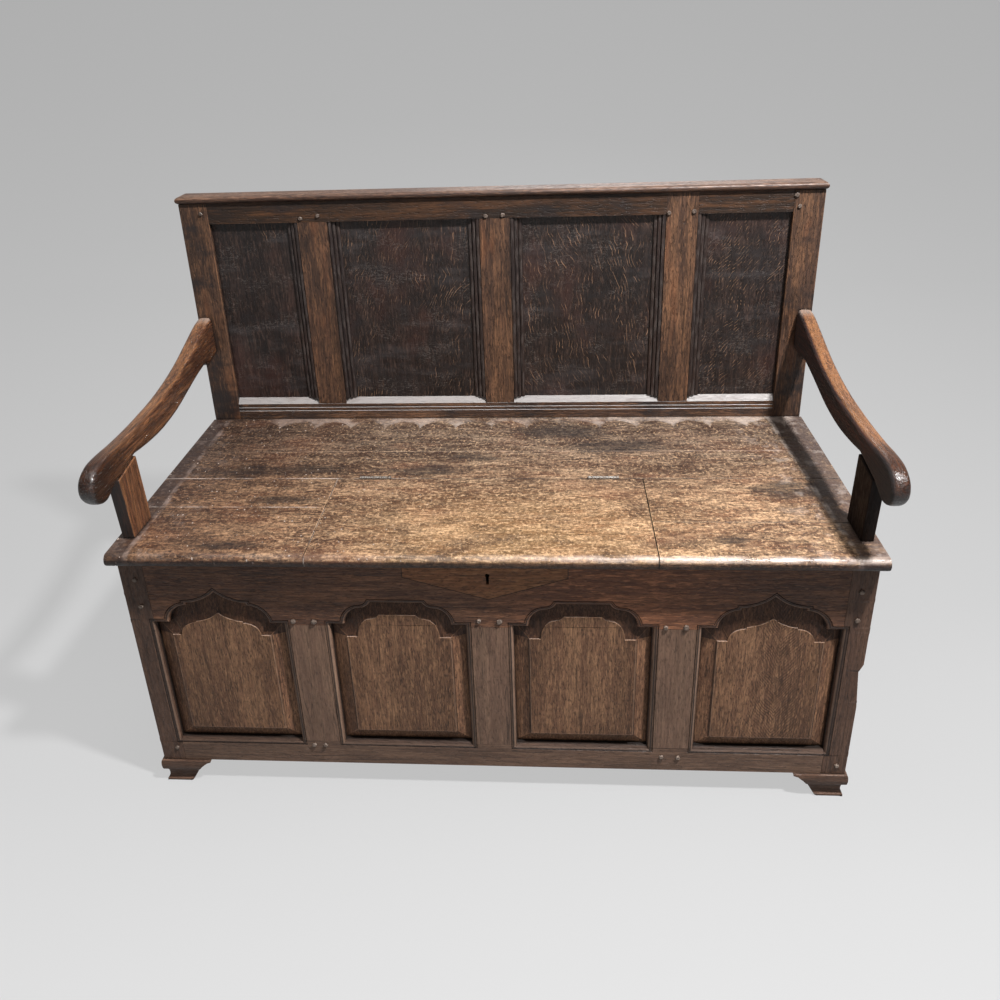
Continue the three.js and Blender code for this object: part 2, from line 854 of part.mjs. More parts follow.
function backMuntinThrough() {
  const low = [throughEdges.left, boxDepth, backHead - overrun];
  const upper = block(low, [throughEdges.right, boxDepth + backThickness, postTop]);
  return cut(join(backMuntin(backMuntinPlace), upper), throughTenons.map(mortise));
}

// The cap: a rounded front edge returned round both ends
function backCap() {
  const low = postTop + fit;
  const half = boxHalf + capEndOverhang;
  const radius = capThickness / 2;
  const noseEdge = (edge, way) => arc(edge - way * radius, low + radius, radius, way);
  const back = postBack;
  const side = [...noseEdge(boxDepth - capOverhang, -1), [back, low], [back, low + capThickness]];
  const front = [...noseEdge(half, 1), ...noseEdge(-half, -1)];
  return prismX(side, -half, half).intersect(prismY(front, boxDepth - capOverhang, back));
}

// A half round from below to above, bulging right for 1, or from above to below, bulging left for -1
function arc(x, z, radius, way) {
  const points = [];
  for (let i = 0; i <= capSteps; i += 1) {
    const angle = Math.PI * i / capSteps - Math.PI / 2;
    points.push([x + way * radius * Math.cos(angle), z + way * radius * Math.sin(angle)]);
  }
  return points;
}

// Seat boards and lid

const seatLow = frameTop + fit;

// Section of a board with its front edge rounded
function nosedSection(back) {
  const radius = (seatTop - seatLow) / 2;
  const middle = seatLow + radius;
  const points = [[back, seatTop]];
  for (let i = 0; i <= noseSteps; i += 1) {
    const angle = Math.PI * i / noseSteps;
    points.push([seatNose + radius * (1 - Math.sin(angle)), middle + radius * Math.cos(angle)]);
  }
  return [...points, [back, seatLow]];
}

function nosedBoard(left, right, back) {
  return prismX(nosedSection(back), left, right);
}

function plainBoard(left, right, front, back) {
  return block([left, front, seatLow], [right, back, seatTop]);
}

const seatPieceBack = hingeLine - hingeGap / 2;
const rearBoardFront = hingeLine + hingeGap / 2;

function seatRearBoard() {
  const notch = backEdge - fit;
  const right = [
    [seatHalf, rearBoardFront],
    [seatHalf, boxDepth - fit],
    [notch, boxDepth - fit],
    [notch, boxDepth + backThickness],
  ];
  const board = prismZ([...right, ...mirrorOutline(right)], seatLow, seatTop);
  const line = prismX([
    [rearJoint - jointLineDepth, seatTop + fit],
    [rearJoint, seatTop - jointLineDepth],
    [rearJoint + jointLineDepth, seatTop + fit],
  ], -seatHalf - overrun, seatHalf + overrun);
  return cut(board, [line, ...hingeCentres.map((centre) => hingeRecess(centre, 1))]);
}

function seatFrontBoard(side, inner, joint) {
  const board = nosedBoard(...[side * inner, side * seatHalf].sort((a, b) => a - b), joint - fit);
  return board.subtract(mortise(supportTenon(side)));
}

function seatMiddleBoard(side, inner, joint) {
  const [left, right] = [side * inner, side * seatHalf].sort((a, b) => a - b);
  const board = plainBoard(left, right, joint, seatPieceBack);
  return board.subtract(mortise(supportTenon(side)));
}

const hingeCentres = [hingeInset - lidLeft, lidRight - hingeInset];

function seatLid() {
  const board = nosedBoard(-lidLeft, lidRight, seatPieceBack);
  const plate = block(...staplePlate, fit);
  return cut(board, [plate, ...hingeCentres.map((centre) => hingeRecess(centre, -1))]);
}

// Bearers under the ends of the fixed boards and the sides of the lid
function bearerBlock(side, grow) {
  const centre = side < 0 ? -lidLeft : lidRight;
  return block(
    [centre - bearerWidth / 2, frameThickness - bearerHousing, frameTop - bearerHeight],
    [centre + bearerWidth / 2, boxDepth + bearerHousing, frameTop],
    grow,
  );
}

// Arms and supports

// Outline from the front underside round the nose and back along the top, as shares of the
// arm's length ahead of the post and of its rise above the seat
const armLength = boxDepth + armReach;
const armFrontShares = [
  [0.89, 0.475], [0.935, 0.437], [0.974, 0.47], [1, 0.565], [0.986, 0.665], [0.942, 0.72], [0.888, 0.731],
];
const armTopShares = [
  [0.81, 0.721], [0.71, 0.717], [0.6, 0.725], [0.487, 0.743], [0.37, 0.785], [0.267, 0.842],
  [0.157, 0.925], [0.06, 0.998], [0, 1.02],
];
const armHeelShares = [[0, 0.67], [0.085, 0.63], [0.108, 0.672]];
const armUnderShares = [
  [0.108, 0.672], [0.2, 0.64], [0.303, 0.588], [0.407, 0.537], [0.53, 0.512], [0.64, 0.524],
];
const armSeatShares = [[0.735, 0.552], [0.865, 0.5]];

function armPoint([along, up]) {
  return new THREE.Vector2(boxDepth - along * armLength, seatTop + up * armRise);
}

function armOutline() {
  const spline = (shares) => new THREE.SplineCurve(shares.map(armPoint)).getPoints(shares.length * armDivisions);
  const front = spline([armSeatShares[1], ...armFrontShares, ...armTopShares]);
  const under = spline([...armUnderShares, armSeatShares[0]]);
  const heel = armHeelShares.slice(0, 2).map(armPoint);
  const outline = [...heel, ...under, ...front];
  return outline.map(({ x, y }) => [x, y]).reverse();
}

function armTenon(side) {
  const centre = side * (armInner + armThickness / 2);
  const middle = seatTop + armRise * (armHeelShares[0][1] + 1) / 2;
  return [
    [centre - armTenonThickness / 2, boxDepth - tenonRoot, middle - armTenonHeight / 2],
    [centre + armTenonThickness / 2, boxDepth + armTenonLength, middle + armTenonHeight / 2],
  ];
}

// The arm, its long arrises rounded, cut square where it meets the post
function arm(side) {
  const outline = armOutline();
  const stretched = outline.map(([y, z]) => [y > boxDepth - overrun ? boxDepth + armRound * 2 : y, z]);
  const half = armThickness / 2;
  const rings = [];
  for (let i = 0; i <= armRoundSteps; i += 1) {
    const angle = Math.PI / 2 * i / armRoundSteps;
    const inset = armRound * (1 - Math.sin(angle));
    rings.push({ outline: offsetOutline(stretched, -inset), depth: -half + armRound * (1 - Math.cos(angle)) });
  }
  const mirrored = rings.map(({ outline: ring, depth }) => ({ outline: ring, depth: -depth })).reverse();
  const turn = new THREE.Matrix4().makeRotationZ(Math.PI / 2);
  turn.setPosition(side * (armInner + half), 0, 0);
  const body = toSolid(loft([...rings, ...mirrored]).applyMatrix4(turn));
  const behind = block([-boxWidth, boxDepth - fit, seatTop], [boxWidth, postBack, postTop]);
  const whole = join(body.subtract(behind), tenon(armTenon(side)));
  return whole.subtract(mortise(supportHead(side)));
}

function supportTenon(side) {
  const inner = armInner + supportThickness / 2 - armTenonThickness / 2;
  return [
    [side * inner, stileDepth + tenonRoot, frameTop - supportTenonDepth],
    [side * (inner + armTenonThickness), supportFoot + supportDepth - tenonRoot, seatTop + tenonRoot],
  ];
}

function supportHead(side) {
  const inner = armInner + supportThickness / 2 - armTenonThickness / 2;
  const top = armPoint(armSeatShares[1]).y + supportTenonRise;
  return [
    [side * inner, supportFoot + tenonRoot, seatTop + supportTenonRise],
    [side * (inner + armTenonThickness), supportFoot + supportDepth - tenonRoot * 3, top],
  ];
}

function armSupport(side) {
  const [rear, front] = armSeatShares.map(armPoint);
  const slope = (rear.y - front.y) / (rear.x - front.x);
  const underArm = (y) => front.y + (y - front.x) * slope - fit * 2;
  const back = supportFoot + supportDepth;
  const outline = [
    [supportFoot, seatTop + fit],
    [back, seatTop + fit],
    [back - supportLean, underArm(back - supportLean)],
    [supportFoot - supportLean, underArm(supportFoot - supportLean)],
  ];
  const board = prismX(outline, side * armInner, side * (armInner + supportThickness));
  return join(board, tenon(supportTenon(side)), tenon(supportHead(side)));
}

// Hinges

const barrelLevel = seatTop + barrelRise;

function rod(radius, from, to) {
  const geometry = new THREE.CylinderGeometry(radius, radius, to - from, barrelSides);
  geometry.rotateZ(Math.PI / 2);
  geometry.translate((from + to) / 2, hingeLine, barrelLevel);
  return toSolid(geometry);
}

// Room for one leaf and half the barrel, in the rear board for 1 or in the lid for -1
function hingeRecess(centre, way) {
  const half = hingeLength / 2;
  const leaf = leafBlock(centre, way, fit);
  return leaf.add(rod(barrelRadius + fit, centre - half - fit, centre + half + fit));
}

function leafBlock(centre, way, grow) {
  const half = hingeLength / 2;
  const near = hingeGap / 2 - fit;
  return block(
    [centre - half, hingeLine + way * near, seatTop - leafHeight],
    [centre + half, hingeLine + way * (near + leafThickness), barrelLevel - (barrelRadius + pinRadius + fit) / 2],
    grow,
  );
}

function knuckles(centre, radius, first) {
  const width = hingeLength / knuckleCount;
  const solids = [];
  for (let i = first; i < knuckleCount; i += 2) {
    const from = centre - hingeLength / 2 + i * width;
    solids.push(rod(radius, from + fit / 2, from + width - fit / 2));
  }
  return solids;
}

function fixedLeaf(centre) {
  const half = hingeLength / 2;
  const barrel = join(leafBlock(centre, 1, 0), ...knuckles(centre, barrelRadius, 0));
  const gaps = knuckles(centre, barrelRadius + fit, 1).map((gap) => gap.intersect(nearBarrel(centre)));
  const bore = rod(pinRadius + fit, centre - half - overrun, centre + half + overrun);
  return cut(barrel, [...gaps, bore]);
}

function lidLeaf(centre) {
  const half = hingeLength / 2;
  const gaps = knuckles(centre, barrelRadius + fit, 0).map((gap) => gap.intersect(nearBarrel(centre)));
  const leaf = cut(leafBlock(centre, -1, 0), gaps);
  const pin = rod(pinRadius, centre - half, centre + half);
  return join(leaf, ...knuckles(centre, barrelRadius, 1), pin);
}

function nearBarrel(centre) {
  const reach = barrelRadius + overrun;
  return block([centre - hingeLength, hingeLine - reach, barrelLevel - reach],
    [centre + hingeLength, hingeLine + reach, barrelLevel + reach]);
}

// Lock and staple

const caseFront = frameThickness + fit;
const caseBack = caseFront + caseDepth;
const caseTop = frameTop - caseFall;
const boltTop = frameTop - boltFall;
const boltLow = boltTop - boltHeight;
const boltRear = caseBack - caseWall - boltBack;
const boltFront = boltRear - boltThickness;
const stapleFront = boltFront - fit * 2 - stapleWall;
const stapleRear = boltRear + fit * 2 + stapleWall;
const stapleTip = boltLow - fit * 2 - stapleWall;
const boltTravelStart = -stapleThickness / 2 - fit * 2 - boltLength;

function lockCase() {
  const half = caseWidth / 2;
  const shell = block([-half, caseFront, caseTop - caseHeight], [half, caseBack, caseTop]);
  const hollow = block(
    [-half + caseWall, caseFront - overrun, caseTop - caseHeight + caseWall],
    [half - caseWall, caseBack - caseWall, caseTop - caseWall],
  );
  const slot = block(
    [-stapleThickness - fit, caseFront - overrun, caseTop - overrun],
    [stapleThickness + fit, stapleRear + fit * 2, caseTop + overrun],
  );
  const shelfBack = caseBack - caseWall / 2;
  const shelfLeft = boltTravelStart - fit;
  const shelfRight = -stapleThickness - fit * 2;
  const lower = block([shelfLeft, boltFront, boltLow - fit - caseWall], [shelfRight, shelfBack, boltLow - fit]);
  const upper = block([shelfLeft, boltFront, boltTop + fit], [shelfRight, shelfBack, boltTop + fit + caseWall]);
  return join(cut(shell, [hollow, slot]), lower, upper);
}

function lockBolt() {
  return block(
    [boltTravelStart, boltFront, boltLow],
    [boltTravelStart + boltLength, boltRear, boltTop],
  );
}

const staplePlate = [
  [-staplePlateLength / 2, (stapleFront + stapleRear - staplePlateWidth) / 2, seatLow],
  [staplePlateLength / 2, (stapleFront + stapleRear + staplePlateWidth) / 2, seatLow + staplePlateThickness],
];

function lidStaple() {
  const half = stapleThickness / 2;
  const loop = block([-half, stapleFront, stapleTip], [half, stapleRear, seatLow + staplePlateThickness / 2]);
  const eye = block(
    [-half - overrun, boltFront - fit * 2, boltLow - fit * 2],
    [half + overrun, boltRear + fit * 2, boltTop + fit * 2],
  );
  return block(...staplePlate).add(loop.subtract(eye));
}

// Assembly

const bench = new THREE.Group();

function add(parent, name, solid, material, position = [0, 0, 0]) {
  const mesh = new THREE.Mesh(toGeometry(solid), material);
  mesh.name = name;
  mesh.position.set(...position);
  parent.add(mesh);
  return mesh;
}

function addFront() {
  add(bench, 'front_top_rail', frontTopRail(), frontOak);
  add(bench, 'front_bottom_rail', frontBottomRail(), frontOak);
  add(bench, 'lock_patch', lockPatch(), frontOak);
  for (const [name, centre] of Object.entries(muntinCentres)) {
    add(bench, `front_muntin_${name}`, frontMuntin(centre), frontOak);
  }
  for (const [name, bay] of Object.entries(frontBays)) {
    add(bench, `front_panel_${name}`, fieldedPanel(bay), panelOak, [bay.centre, 0, 0]);
  }
}

function addEnd(side, word) {
  const stile = side > 0 ? frontStile(side).subtract(wornHollow()) : frontStile(side);
  add(bench, `front_stile_${word}`, stile, frontOak);
  add(bench, `front_foot_${word}`, frontFoot(side), frontOak, [side * boxHalf, 0, 0]);
  add(bench, `rear_post_${word}`, rearPost(side), backOak);
  add(bench, `end_top_rail_${word}`, endTopRail(side), frontOak);
  add(bench, `end_bottom_rail_${word}`, endBottomRail(side), frontOak);
  add(bench, `end_muntin_${word}`, endMuntin(side), frontOak);
  const end = new THREE.Group();
  end.applyMatrix4(endPlace(side));
  for (const bay of endBays) {
    const name = bay.centre * side < 0 ? 'front' : 'rear';
    add(end, `end_panel_${name}_${word}`, fieldedPanel(bay), panelOak, [bay.centre, 0, 0]);
  }
  bench.add(end);
  add(bench, `arm_${word}`, arm(side), armOak);
  add(bench, `arm_support_${word}`, armSupport(side), armOak);
  add(bench, `seat_bearer_${word}`, bearerBlock(side, 0), hiddenOak);
}

function addBack() {
  add(bench, 'box_back_top_rail', chestBackTopRail(), hiddenOak);
  add(bench, 'box_back_bottom_rail', chestBackRail(footHeight, sill, chestBackBottomTenons), hiddenOak);
  add(bench, 'box_back_board', chestBackBoard(), hiddenOak);
  add(bench, 'box_floor', floorBoard, hiddenOak);
  add(bench, 'backrest_bottom_rail', backBottomRail(), backOak);
  add(bench, 'backrest_top_rail_long', backTopRailLong(), backOak);
  add(bench, 'backrest_top_rail_short', backTopRailShort(), backOak);
  add(bench, 'backrest_muntin_left', backMuntinWithHead(-backMuntinPlace), backOak);
  add(bench, 'backrest_muntin_centre', backMuntinWithHead(0), backOak);
  add(bench, 'backrest_muntin_right', backMuntinThrough(), backOak);
  for (const [name, left, right] of backPanelOpenings) {
    add(bench, `backrest_panel_${name}`, backPanel(left, right), darkOak);
  }
  add(bench, 'backrest_cap', backCap(), backOak);
}

function addSeat() {
  add(bench, 'seat_rear_board', seatRearBoard(), seatOak);
  add(bench, 'seat_left_front_board', seatFrontBoard(-1, lidLeft + lidGap, leftJoint), seatOak);
  add(bench, 'seat_left_middle_board', seatMiddleBoard(-1, lidLeft + lidGap, leftJoint), seatOak);
  add(bench, 'seat_right_front_board', seatFrontBoard(1, lidRight + lidGap, rightJoint), seatOak);
  add(bench, 'seat_right_middle_board', seatMiddleBoard(1, lidRight + lidGap, rightJoint), seatOak);
  add(bench, 'seat_lid', seatLid(), seatOak);
}

function addMetalwork() {
  for (const [i, word] of ['left', 'right'].entries()) {
    add(bench, `hinge_${word}_fixed_leaf`, fixedLeaf(hingeCentres[i]), steel);
    add(bench, `hinge_${word}_lid_leaf`, lidLeaf(hingeCentres[i]), steel);
  }
  add(bench, 'lock_case', lockCase(), iron);
  add(bench, 'lock_bolt', lockBolt(), iron);
  add(bench, 'lid_staple', lidStaple(), iron);
}

addFront();
addEnd(-1, 'left');
addEnd(1, 'right');
addBack();
addSeat();
addMetalwork();

// The origin is on the floor under the middle of the bench's footprint
const armNose = Math.min(...armOutline().map(([y]) => y));
bench.position.set(0, -(armNose + postBack) / 2, 0);

export default bench;
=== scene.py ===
import math
import random
from collections import namedtuple

import bmesh
import bpy
from mathutils import Matrix, Vector
from mathutils.geometry import convex_hull_2d


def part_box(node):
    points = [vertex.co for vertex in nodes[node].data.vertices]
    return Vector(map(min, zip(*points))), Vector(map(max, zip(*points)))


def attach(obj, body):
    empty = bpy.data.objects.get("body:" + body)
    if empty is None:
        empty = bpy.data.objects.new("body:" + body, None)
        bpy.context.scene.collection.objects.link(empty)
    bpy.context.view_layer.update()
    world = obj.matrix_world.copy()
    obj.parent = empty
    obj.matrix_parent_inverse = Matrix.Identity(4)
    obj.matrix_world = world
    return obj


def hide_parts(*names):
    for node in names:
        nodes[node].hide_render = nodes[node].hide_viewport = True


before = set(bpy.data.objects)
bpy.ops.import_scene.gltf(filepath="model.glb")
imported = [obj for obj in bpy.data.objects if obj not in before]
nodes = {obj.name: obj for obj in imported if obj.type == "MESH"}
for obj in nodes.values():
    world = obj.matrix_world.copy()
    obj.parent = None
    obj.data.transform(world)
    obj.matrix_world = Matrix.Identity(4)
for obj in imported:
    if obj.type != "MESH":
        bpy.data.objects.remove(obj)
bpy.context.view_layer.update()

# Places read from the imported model, in metres
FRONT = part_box("front_top_rail")[0].y
SEAT_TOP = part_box("seat_rear_board")[1].z
SEAT_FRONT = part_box("seat_lid")[0].y
BOX_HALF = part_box("front_stile_right")[1].x
STILE_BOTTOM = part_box("front_stile_right")[0].z
BACK_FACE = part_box("backrest_muntin_centre")[0].y
POST_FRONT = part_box("rear_post_right")[0].y
ARM_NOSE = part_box("arm_right")[0].y
REAR_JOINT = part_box("seat_rear_board")[0].y
HINGE_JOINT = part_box("seat_left_middle_board")[1].y
LEFT_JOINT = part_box("seat_left_middle_board")[0].y
LID_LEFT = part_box("seat_lid")[0].x
LID_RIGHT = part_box("seat_lid")[1].x

# The photograph's camera
CAMERA_ACROSS = 0.1076
CAMERA_BEFORE = 1.2275
CAMERA_HEIGHT = 1.365
PITCH = math.radians(23.56)
YAW = math.radians(4.43)
ROLL = math.radians(-2.20)
IMAGE_PIXELS = 1000
FOCAL_PIXELS = 866.1
CENTRE_PIXEL = (487.56, 394.83)
SENSOR_MM = 36.0


def add_object(name, data):
    thing = bpy.data.objects.new(name, data)
    bpy.context.scene.collection.objects.link(thing)
    return thing


def make_camera():
    data = bpy.data.cameras.new("camera")
    data.sensor_width = SENSOR_MM
    data.lens = SENSOR_MM * FOCAL_PIXELS / IMAGE_PIXELS
    data.shift_x = 0.5 - CENTRE_PIXEL[0] / IMAGE_PIXELS
    data.shift_y = CENTRE_PIXEL[1] / IMAGE_PIXELS - 0.5
    camera = add_object("camera", data)
    place = Matrix.Translation((CAMERA_ACROSS, FRONT - CAMERA_BEFORE, CAMERA_HEIGHT))
    turn = Matrix.Rotation(YAW, 4, "Z")
    tilt = Matrix.Rotation(math.pi / 2 - PITCH, 4, "X")
    roll = Matrix.Rotation(ROLL, 4, "Z")
    camera.matrix_world = place @ turn @ tilt @ roll
    bpy.context.scene.camera = camera


# The pale studio floor, which curves up behind the bench
FLOOR_HALF = 9.0
FLOOR_FRONT = -6.0
SWEEP_START = 3.0
SWEEP_RADIUS = 2.0
SWEEP_TOP = 7.0
SWEEP_STEPS = 24

# The paper's own brightness as it is seen: depth and height added up, and how bright it is there
PAPER_TONE = (0.1, 0.1, 0.101, 1.0)
PAPER_ROUGHNESS = 0.9
LIFT_TONE = (1.0, 1.0, 1.0, 1.0)
LIFT_START = -1.0
LIFT_SPAN = 10.0
PAPER_LIFT = [
    (-0.65, 0.58),
    (-0.27, 0.52),
    (0.35, 0.47),
    (1.6, 0.46),
    (3.5, 0.45),
    (6.0, 0.41),
    (8.0, 0.38),
]

# Lamps: name, place, aim, size and power
LAMPS = [
    ("key", (1.05, -0.85, 2.8), (0.0, -0.1, 0.4), 0.2, 140.0),
    ("overhead", (-0.7, -0.2, 3.4), (0.0, 0.0, 0.5), 1.6, 24.0),
    ("front_fill", (0.5, -4.0, 2.0), (0.0, -0.1, 0.4), 2.6, 21.0),
    ("back_fill", (0.4, 3.4, 2.4), (0.0, 0.2, 0.5), 2.0, 30.0),
]


def add_lamp(name, place, aim, size, power):
    data = bpy.data.lights.new(name, "AREA")
    data.shape = "DISK"
    data.size = size
    data.energy = power
    lamp = add_object(name, data)
    lamp.location = place
    lamp.rotation_euler = (Vector(aim) - Vector(place)).to_track_quat("-Z", "Y").to_euler()
    lamp.visible_camera = False


def make_lights():
    for lamp in LAMPS:
        add_lamp(*lamp)
    bpy.context.scene.view_settings.view_transform = "Standard"


# The light from all round, what is added where it is seen, and the share of that in gloss
WORLD_TONE = (0.64, 0.63, 0.62, 1.0)
WORLD_LIGHT = 0.16
WORLD_LIFT = 0.42
GLOSSY_SHARE = 0.2


def make_world():
    """Soft light from all round, paler where it is seen than it shines."""
    world = bpy.data.worlds.new("studio")
    bpy.context.scene.world = world
    world.use_nodes = True
    tree = world.node_tree
    background = tree.nodes["Background"]
    background.inputs["Color"].default_value = WORLD_TONE
    seen = tree.nodes.new("ShaderNodeLightPath").outputs
    shown = multiply_add(tree, seen["Is Glossy Ray"], GLOSSY_SHARE)
    tree.links.new(seen["Is Camera Ray"], shown.inputs[2])
    strength = multiply_add(tree, shown.outputs[0], WORLD_LIFT)
    strength.inputs[2].default_value = WORLD_LIGHT
    tree.links.new(strength.outputs[0], background.inputs["Strength"])


def multiply_add(tree, value, factor):
    node = tree.nodes.new("ShaderNodeMath")
    node.operation = "MULTIPLY_ADD"
    tree.links.new(value, node.inputs[0])
    node.inputs[1].default_value = factor
    return node


def stops_of(ramp, count):
    """The stops of a colour ramp, as many as asked for."""
    while len(ramp.elements) < count:
        ramp.elements.new(1.0)
    return list(ramp.elements)


def make_stage():
    profile = [(FLOOR_FRONT, 0.0)]
    for step in range(SWEEP_STEPS + 1):
        angle = math.pi / 2 * step / SWEEP_STEPS
        y = SWEEP_START + SWEEP_RADIUS * math.sin(angle)
        profile.append((y, SWEEP_RADIUS * (1 - math.cos(angle))))
    profile.append((SWEEP_START + SWEEP_RADIUS, SWEEP_TOP))
    points = [(side * FLOOR_HALF, y, z) for y, z in profile for side in (-1, 1)]
    faces = [(2 * i, 2 * i + 1, 2 * i + 3, 2 * i + 2) for i in range(len(profile) - 1)]
    mesh = bpy.data.meshes.new("floor")
    mesh.from_pydata(points, [], faces)
    mesh.shade_smooth()
    mesh.materials.append(paper())
    add_object("floor", mesh)


def paper():
    """Pale paper whose own brightness only the camera and reflections see."""
    shades = Shades("studio_paper")
    seen = shades.add("ShaderNodeLightPath", {}).outputs
    direct = shades.most(seen["Is Camera Ray"], seen["Is Glossy Ray"])
    shades.give("Base Color", PAPER_TONE)
    shades.give("Emission Color", LIFT_TONE)
    _, y, z = shades.axes(shades.place())
    far = shades.share(shades.minus(shades.math("ADD", y, z), LIFT_START), 1 / LIFT_SPAN)
    ramp = shades.add("ShaderNodeValToRGB", {"Fac": far})
    for stop, (place, lift) in zip(stops_of(ramp.color_ramp, len(PAPER_LIFT)), PAPER_LIFT):
        stop.position = (place - LIFT_START) / LIFT_SPAN
        stop.color = (lift, lift, lift, 1.0)
    shown = shades.both(direct, ramp.outputs["Color"])
    shades.give("Emission Strength", shown)
    shades.give("Roughness", PAPER_ROUGHNESS)
    return shades.material


# Shader building
SRGB_KNEE = 0.04045
SRGB_SLOPE = 12.92
SRGB_OFFSET = 0.055
SRGB_POWER = 2.4
NOISE_MIDDLE = 0.5
SWAY_DETAIL = 1.0
CORE_SHARE = 0.3

# A noise made into soft patches: repeats to the metre along each axis, the noise values between
# which a patch rises from nothing to full, how fine the noise is and how far it is moved
Cloud = namedtuple("Cloud", "rate low high detail roughness shift", defaults=(3.0, 0.55, (0.0, 0.0, 0.0)))


def srgb(red, green, blue):
    def linear(value):
        share = value / 255
        if share <= SRGB_KNEE:
            return share / SRGB_SLOPE
        return ((share + SRGB_OFFSET) / (1 + SRGB_OFFSET)) ** SRGB_POWER

    return (linear(red), linear(green), linear(blue), 1.0)


class Shades:
    """One material and short names for the shader nodes that it is made of."""

    def __init__(self, name):
        self.material = bpy.data.materials.new(name)
        self.material.use_nodes = True
        self.tree = self.material.node_tree
        self.shader = self.tree.nodes["Principled BSDF"]
        self.colour = None
        self.rough = None

    def feed(self, socket, value):
        if isinstance(value, bpy.types.NodeSocket):
            self.tree.links.new(value, socket)
        else:
            socket.default_value = value

    def give(self, name, value):
        """Feeds one of the values that the finished surface has."""
        self.feed(self.shader.inputs[name], value)

    def add(self, kind, inputs, **settings):
        node = self.tree.nodes.new(kind)
        for name, value in settings.items():
            setattr(node, name, value)
        for socket, value in inputs.items():
            self.feed(node.inputs[socket], value)
        return node

    def place(self):
        return self.add("ShaderNodeTexCoord", {}).outputs["Object"]

    def normal(self, axis):
        vector = self.add("ShaderNodeNewGeometry", {}).outputs["Normal"]
        return self.axes(vector)[axis]

    def axes(self, vector):
        return self.add("ShaderNodeSeparateXYZ", {0: vector}).outputs

    def attribute(self, name):
        return self.add("ShaderNodeAttribute", {}, attribute_name=name).outputs["Fac"]

    def math(self, operation, *values):
        return self.add("ShaderNodeMath", dict(enumerate(values)), operation=operation).outputs[0]

    def vector(self, operation, *values):
        inputs = dict(enumerate(values))
        return self.add("ShaderNodeVectorMath", inputs, operation=operation).outputs[0]

    def stretch(self, vector, scale, shift=(0.0, 0.0, 0.0)):
        inputs = {"Vector": vector, "Location": shift, "Scale": scale}
        return self.add("ShaderNodeMapping", inputs).outputs[0]

    def noise(self, vector, detail=3.0, roughness=0.55, output="Fac"):
        inputs = {"Vector": vector, "Scale": 1.0, "Detail": detail, "Roughness": roughness}
        return self.add("ShaderNodeTexNoise", inputs).outputs[output]

    def warp(self, vector, scale, reach):
        cloud = self.noise(self.stretch(vector, scale), SWAY_DETAIL, output="Color")
        sway = self.vector("SUBTRACT", cloud, (NOISE_MIDDLE, NOISE_MIDDLE, NOISE_MIDDLE))
        return self.vector("ADD", vector, self.vector("MULTIPLY", sway, reach))

    def step(self, value, low, high):
        """Nothing below the low value and one above the high one, or the other way round."""
        inputs = {"Value": value, "From Min": low, "From Max": high}
        node = self.add("ShaderNodeMapRange", inputs, interpolation_type="SMOOTHSTEP")
        return node.outputs["Result"]

    def cloud(self, vector, cloud):
        moved = self.stretch(vector, cloud.rate, cloud.shift)
        return self.step(self.noise(moved, cloud.detail, cloud.roughness), cloud.low, cloud.high)

    def facing(self, axis, low, high):
        """One on faces whose normal leans far enough along the axis."""
        return self.step(self.normal(axis), low, high)

    def share(self, value, amount):
        return self.math("MULTIPLY", value, amount)

    def minus(self, value, other):
        return self.math("SUBTRACT", value, other)

    def most(self, value, other):
        return self.math("MAXIMUM", value, other)

    def away(self, value, place):
        return self.math("ABSOLUTE", self.minus(value, place))

    def line(self, value, place, width):
        """One where the value is near the place, fading to nothing a width away."""
        return self.step(self.away(value, place), width, width * CORE_SHARE)

    def ridge(self, value, width):
        """One along the middle value of a noise, which runs as thin winding lines."""
        return self.line(value, NOISE_MIDDLE, width)

    def mix(self, factor, first, second, kind="MIX"):
        inputs = {0: factor, 6: first, 7: second}
        return self.add("ShaderNodeMix", inputs, data_type="RGBA", blend_type=kind).outputs[2]

    def lay(self, mask, tone, amount=1.0):
        """Brings the colour towards the tone, by the amount where the mask is one."""
        self.colour = self.mix(self.share(mask, amount), self.colour, tone)

    def spread(self, place, cloud, tone, amount):
        """Lays the tone in patches."""
        self.lay(self.cloud(place, cloud), tone, amount)

    def shade(self, mask, tone):
        """Multiplies the colour by the tone where the mask is one."""
        self.colour = self.mix(mask, self.colour, tone, "MULTIPLY")

    def polish(self, mask, rough):
        """Brings the roughness to the given one where the mask is one."""
        inputs = {0: mask, 2: self.rough, 3: rough}
        self.rough = self.add("ShaderNodeMix", inputs, data_type="FLOAT").outputs[0]

    def both(self, *masks):
        total = masks[0]
        for mask in masks[1:]:
            total = self.math("MULTIPLY", total, mask)
        return total

    def bump(self, height, depth):
        inputs = {"Height": height, "Distance": depth, "Strength": 1.0}
        return self.add("ShaderNodeBump", inputs).outputs["Normal"]


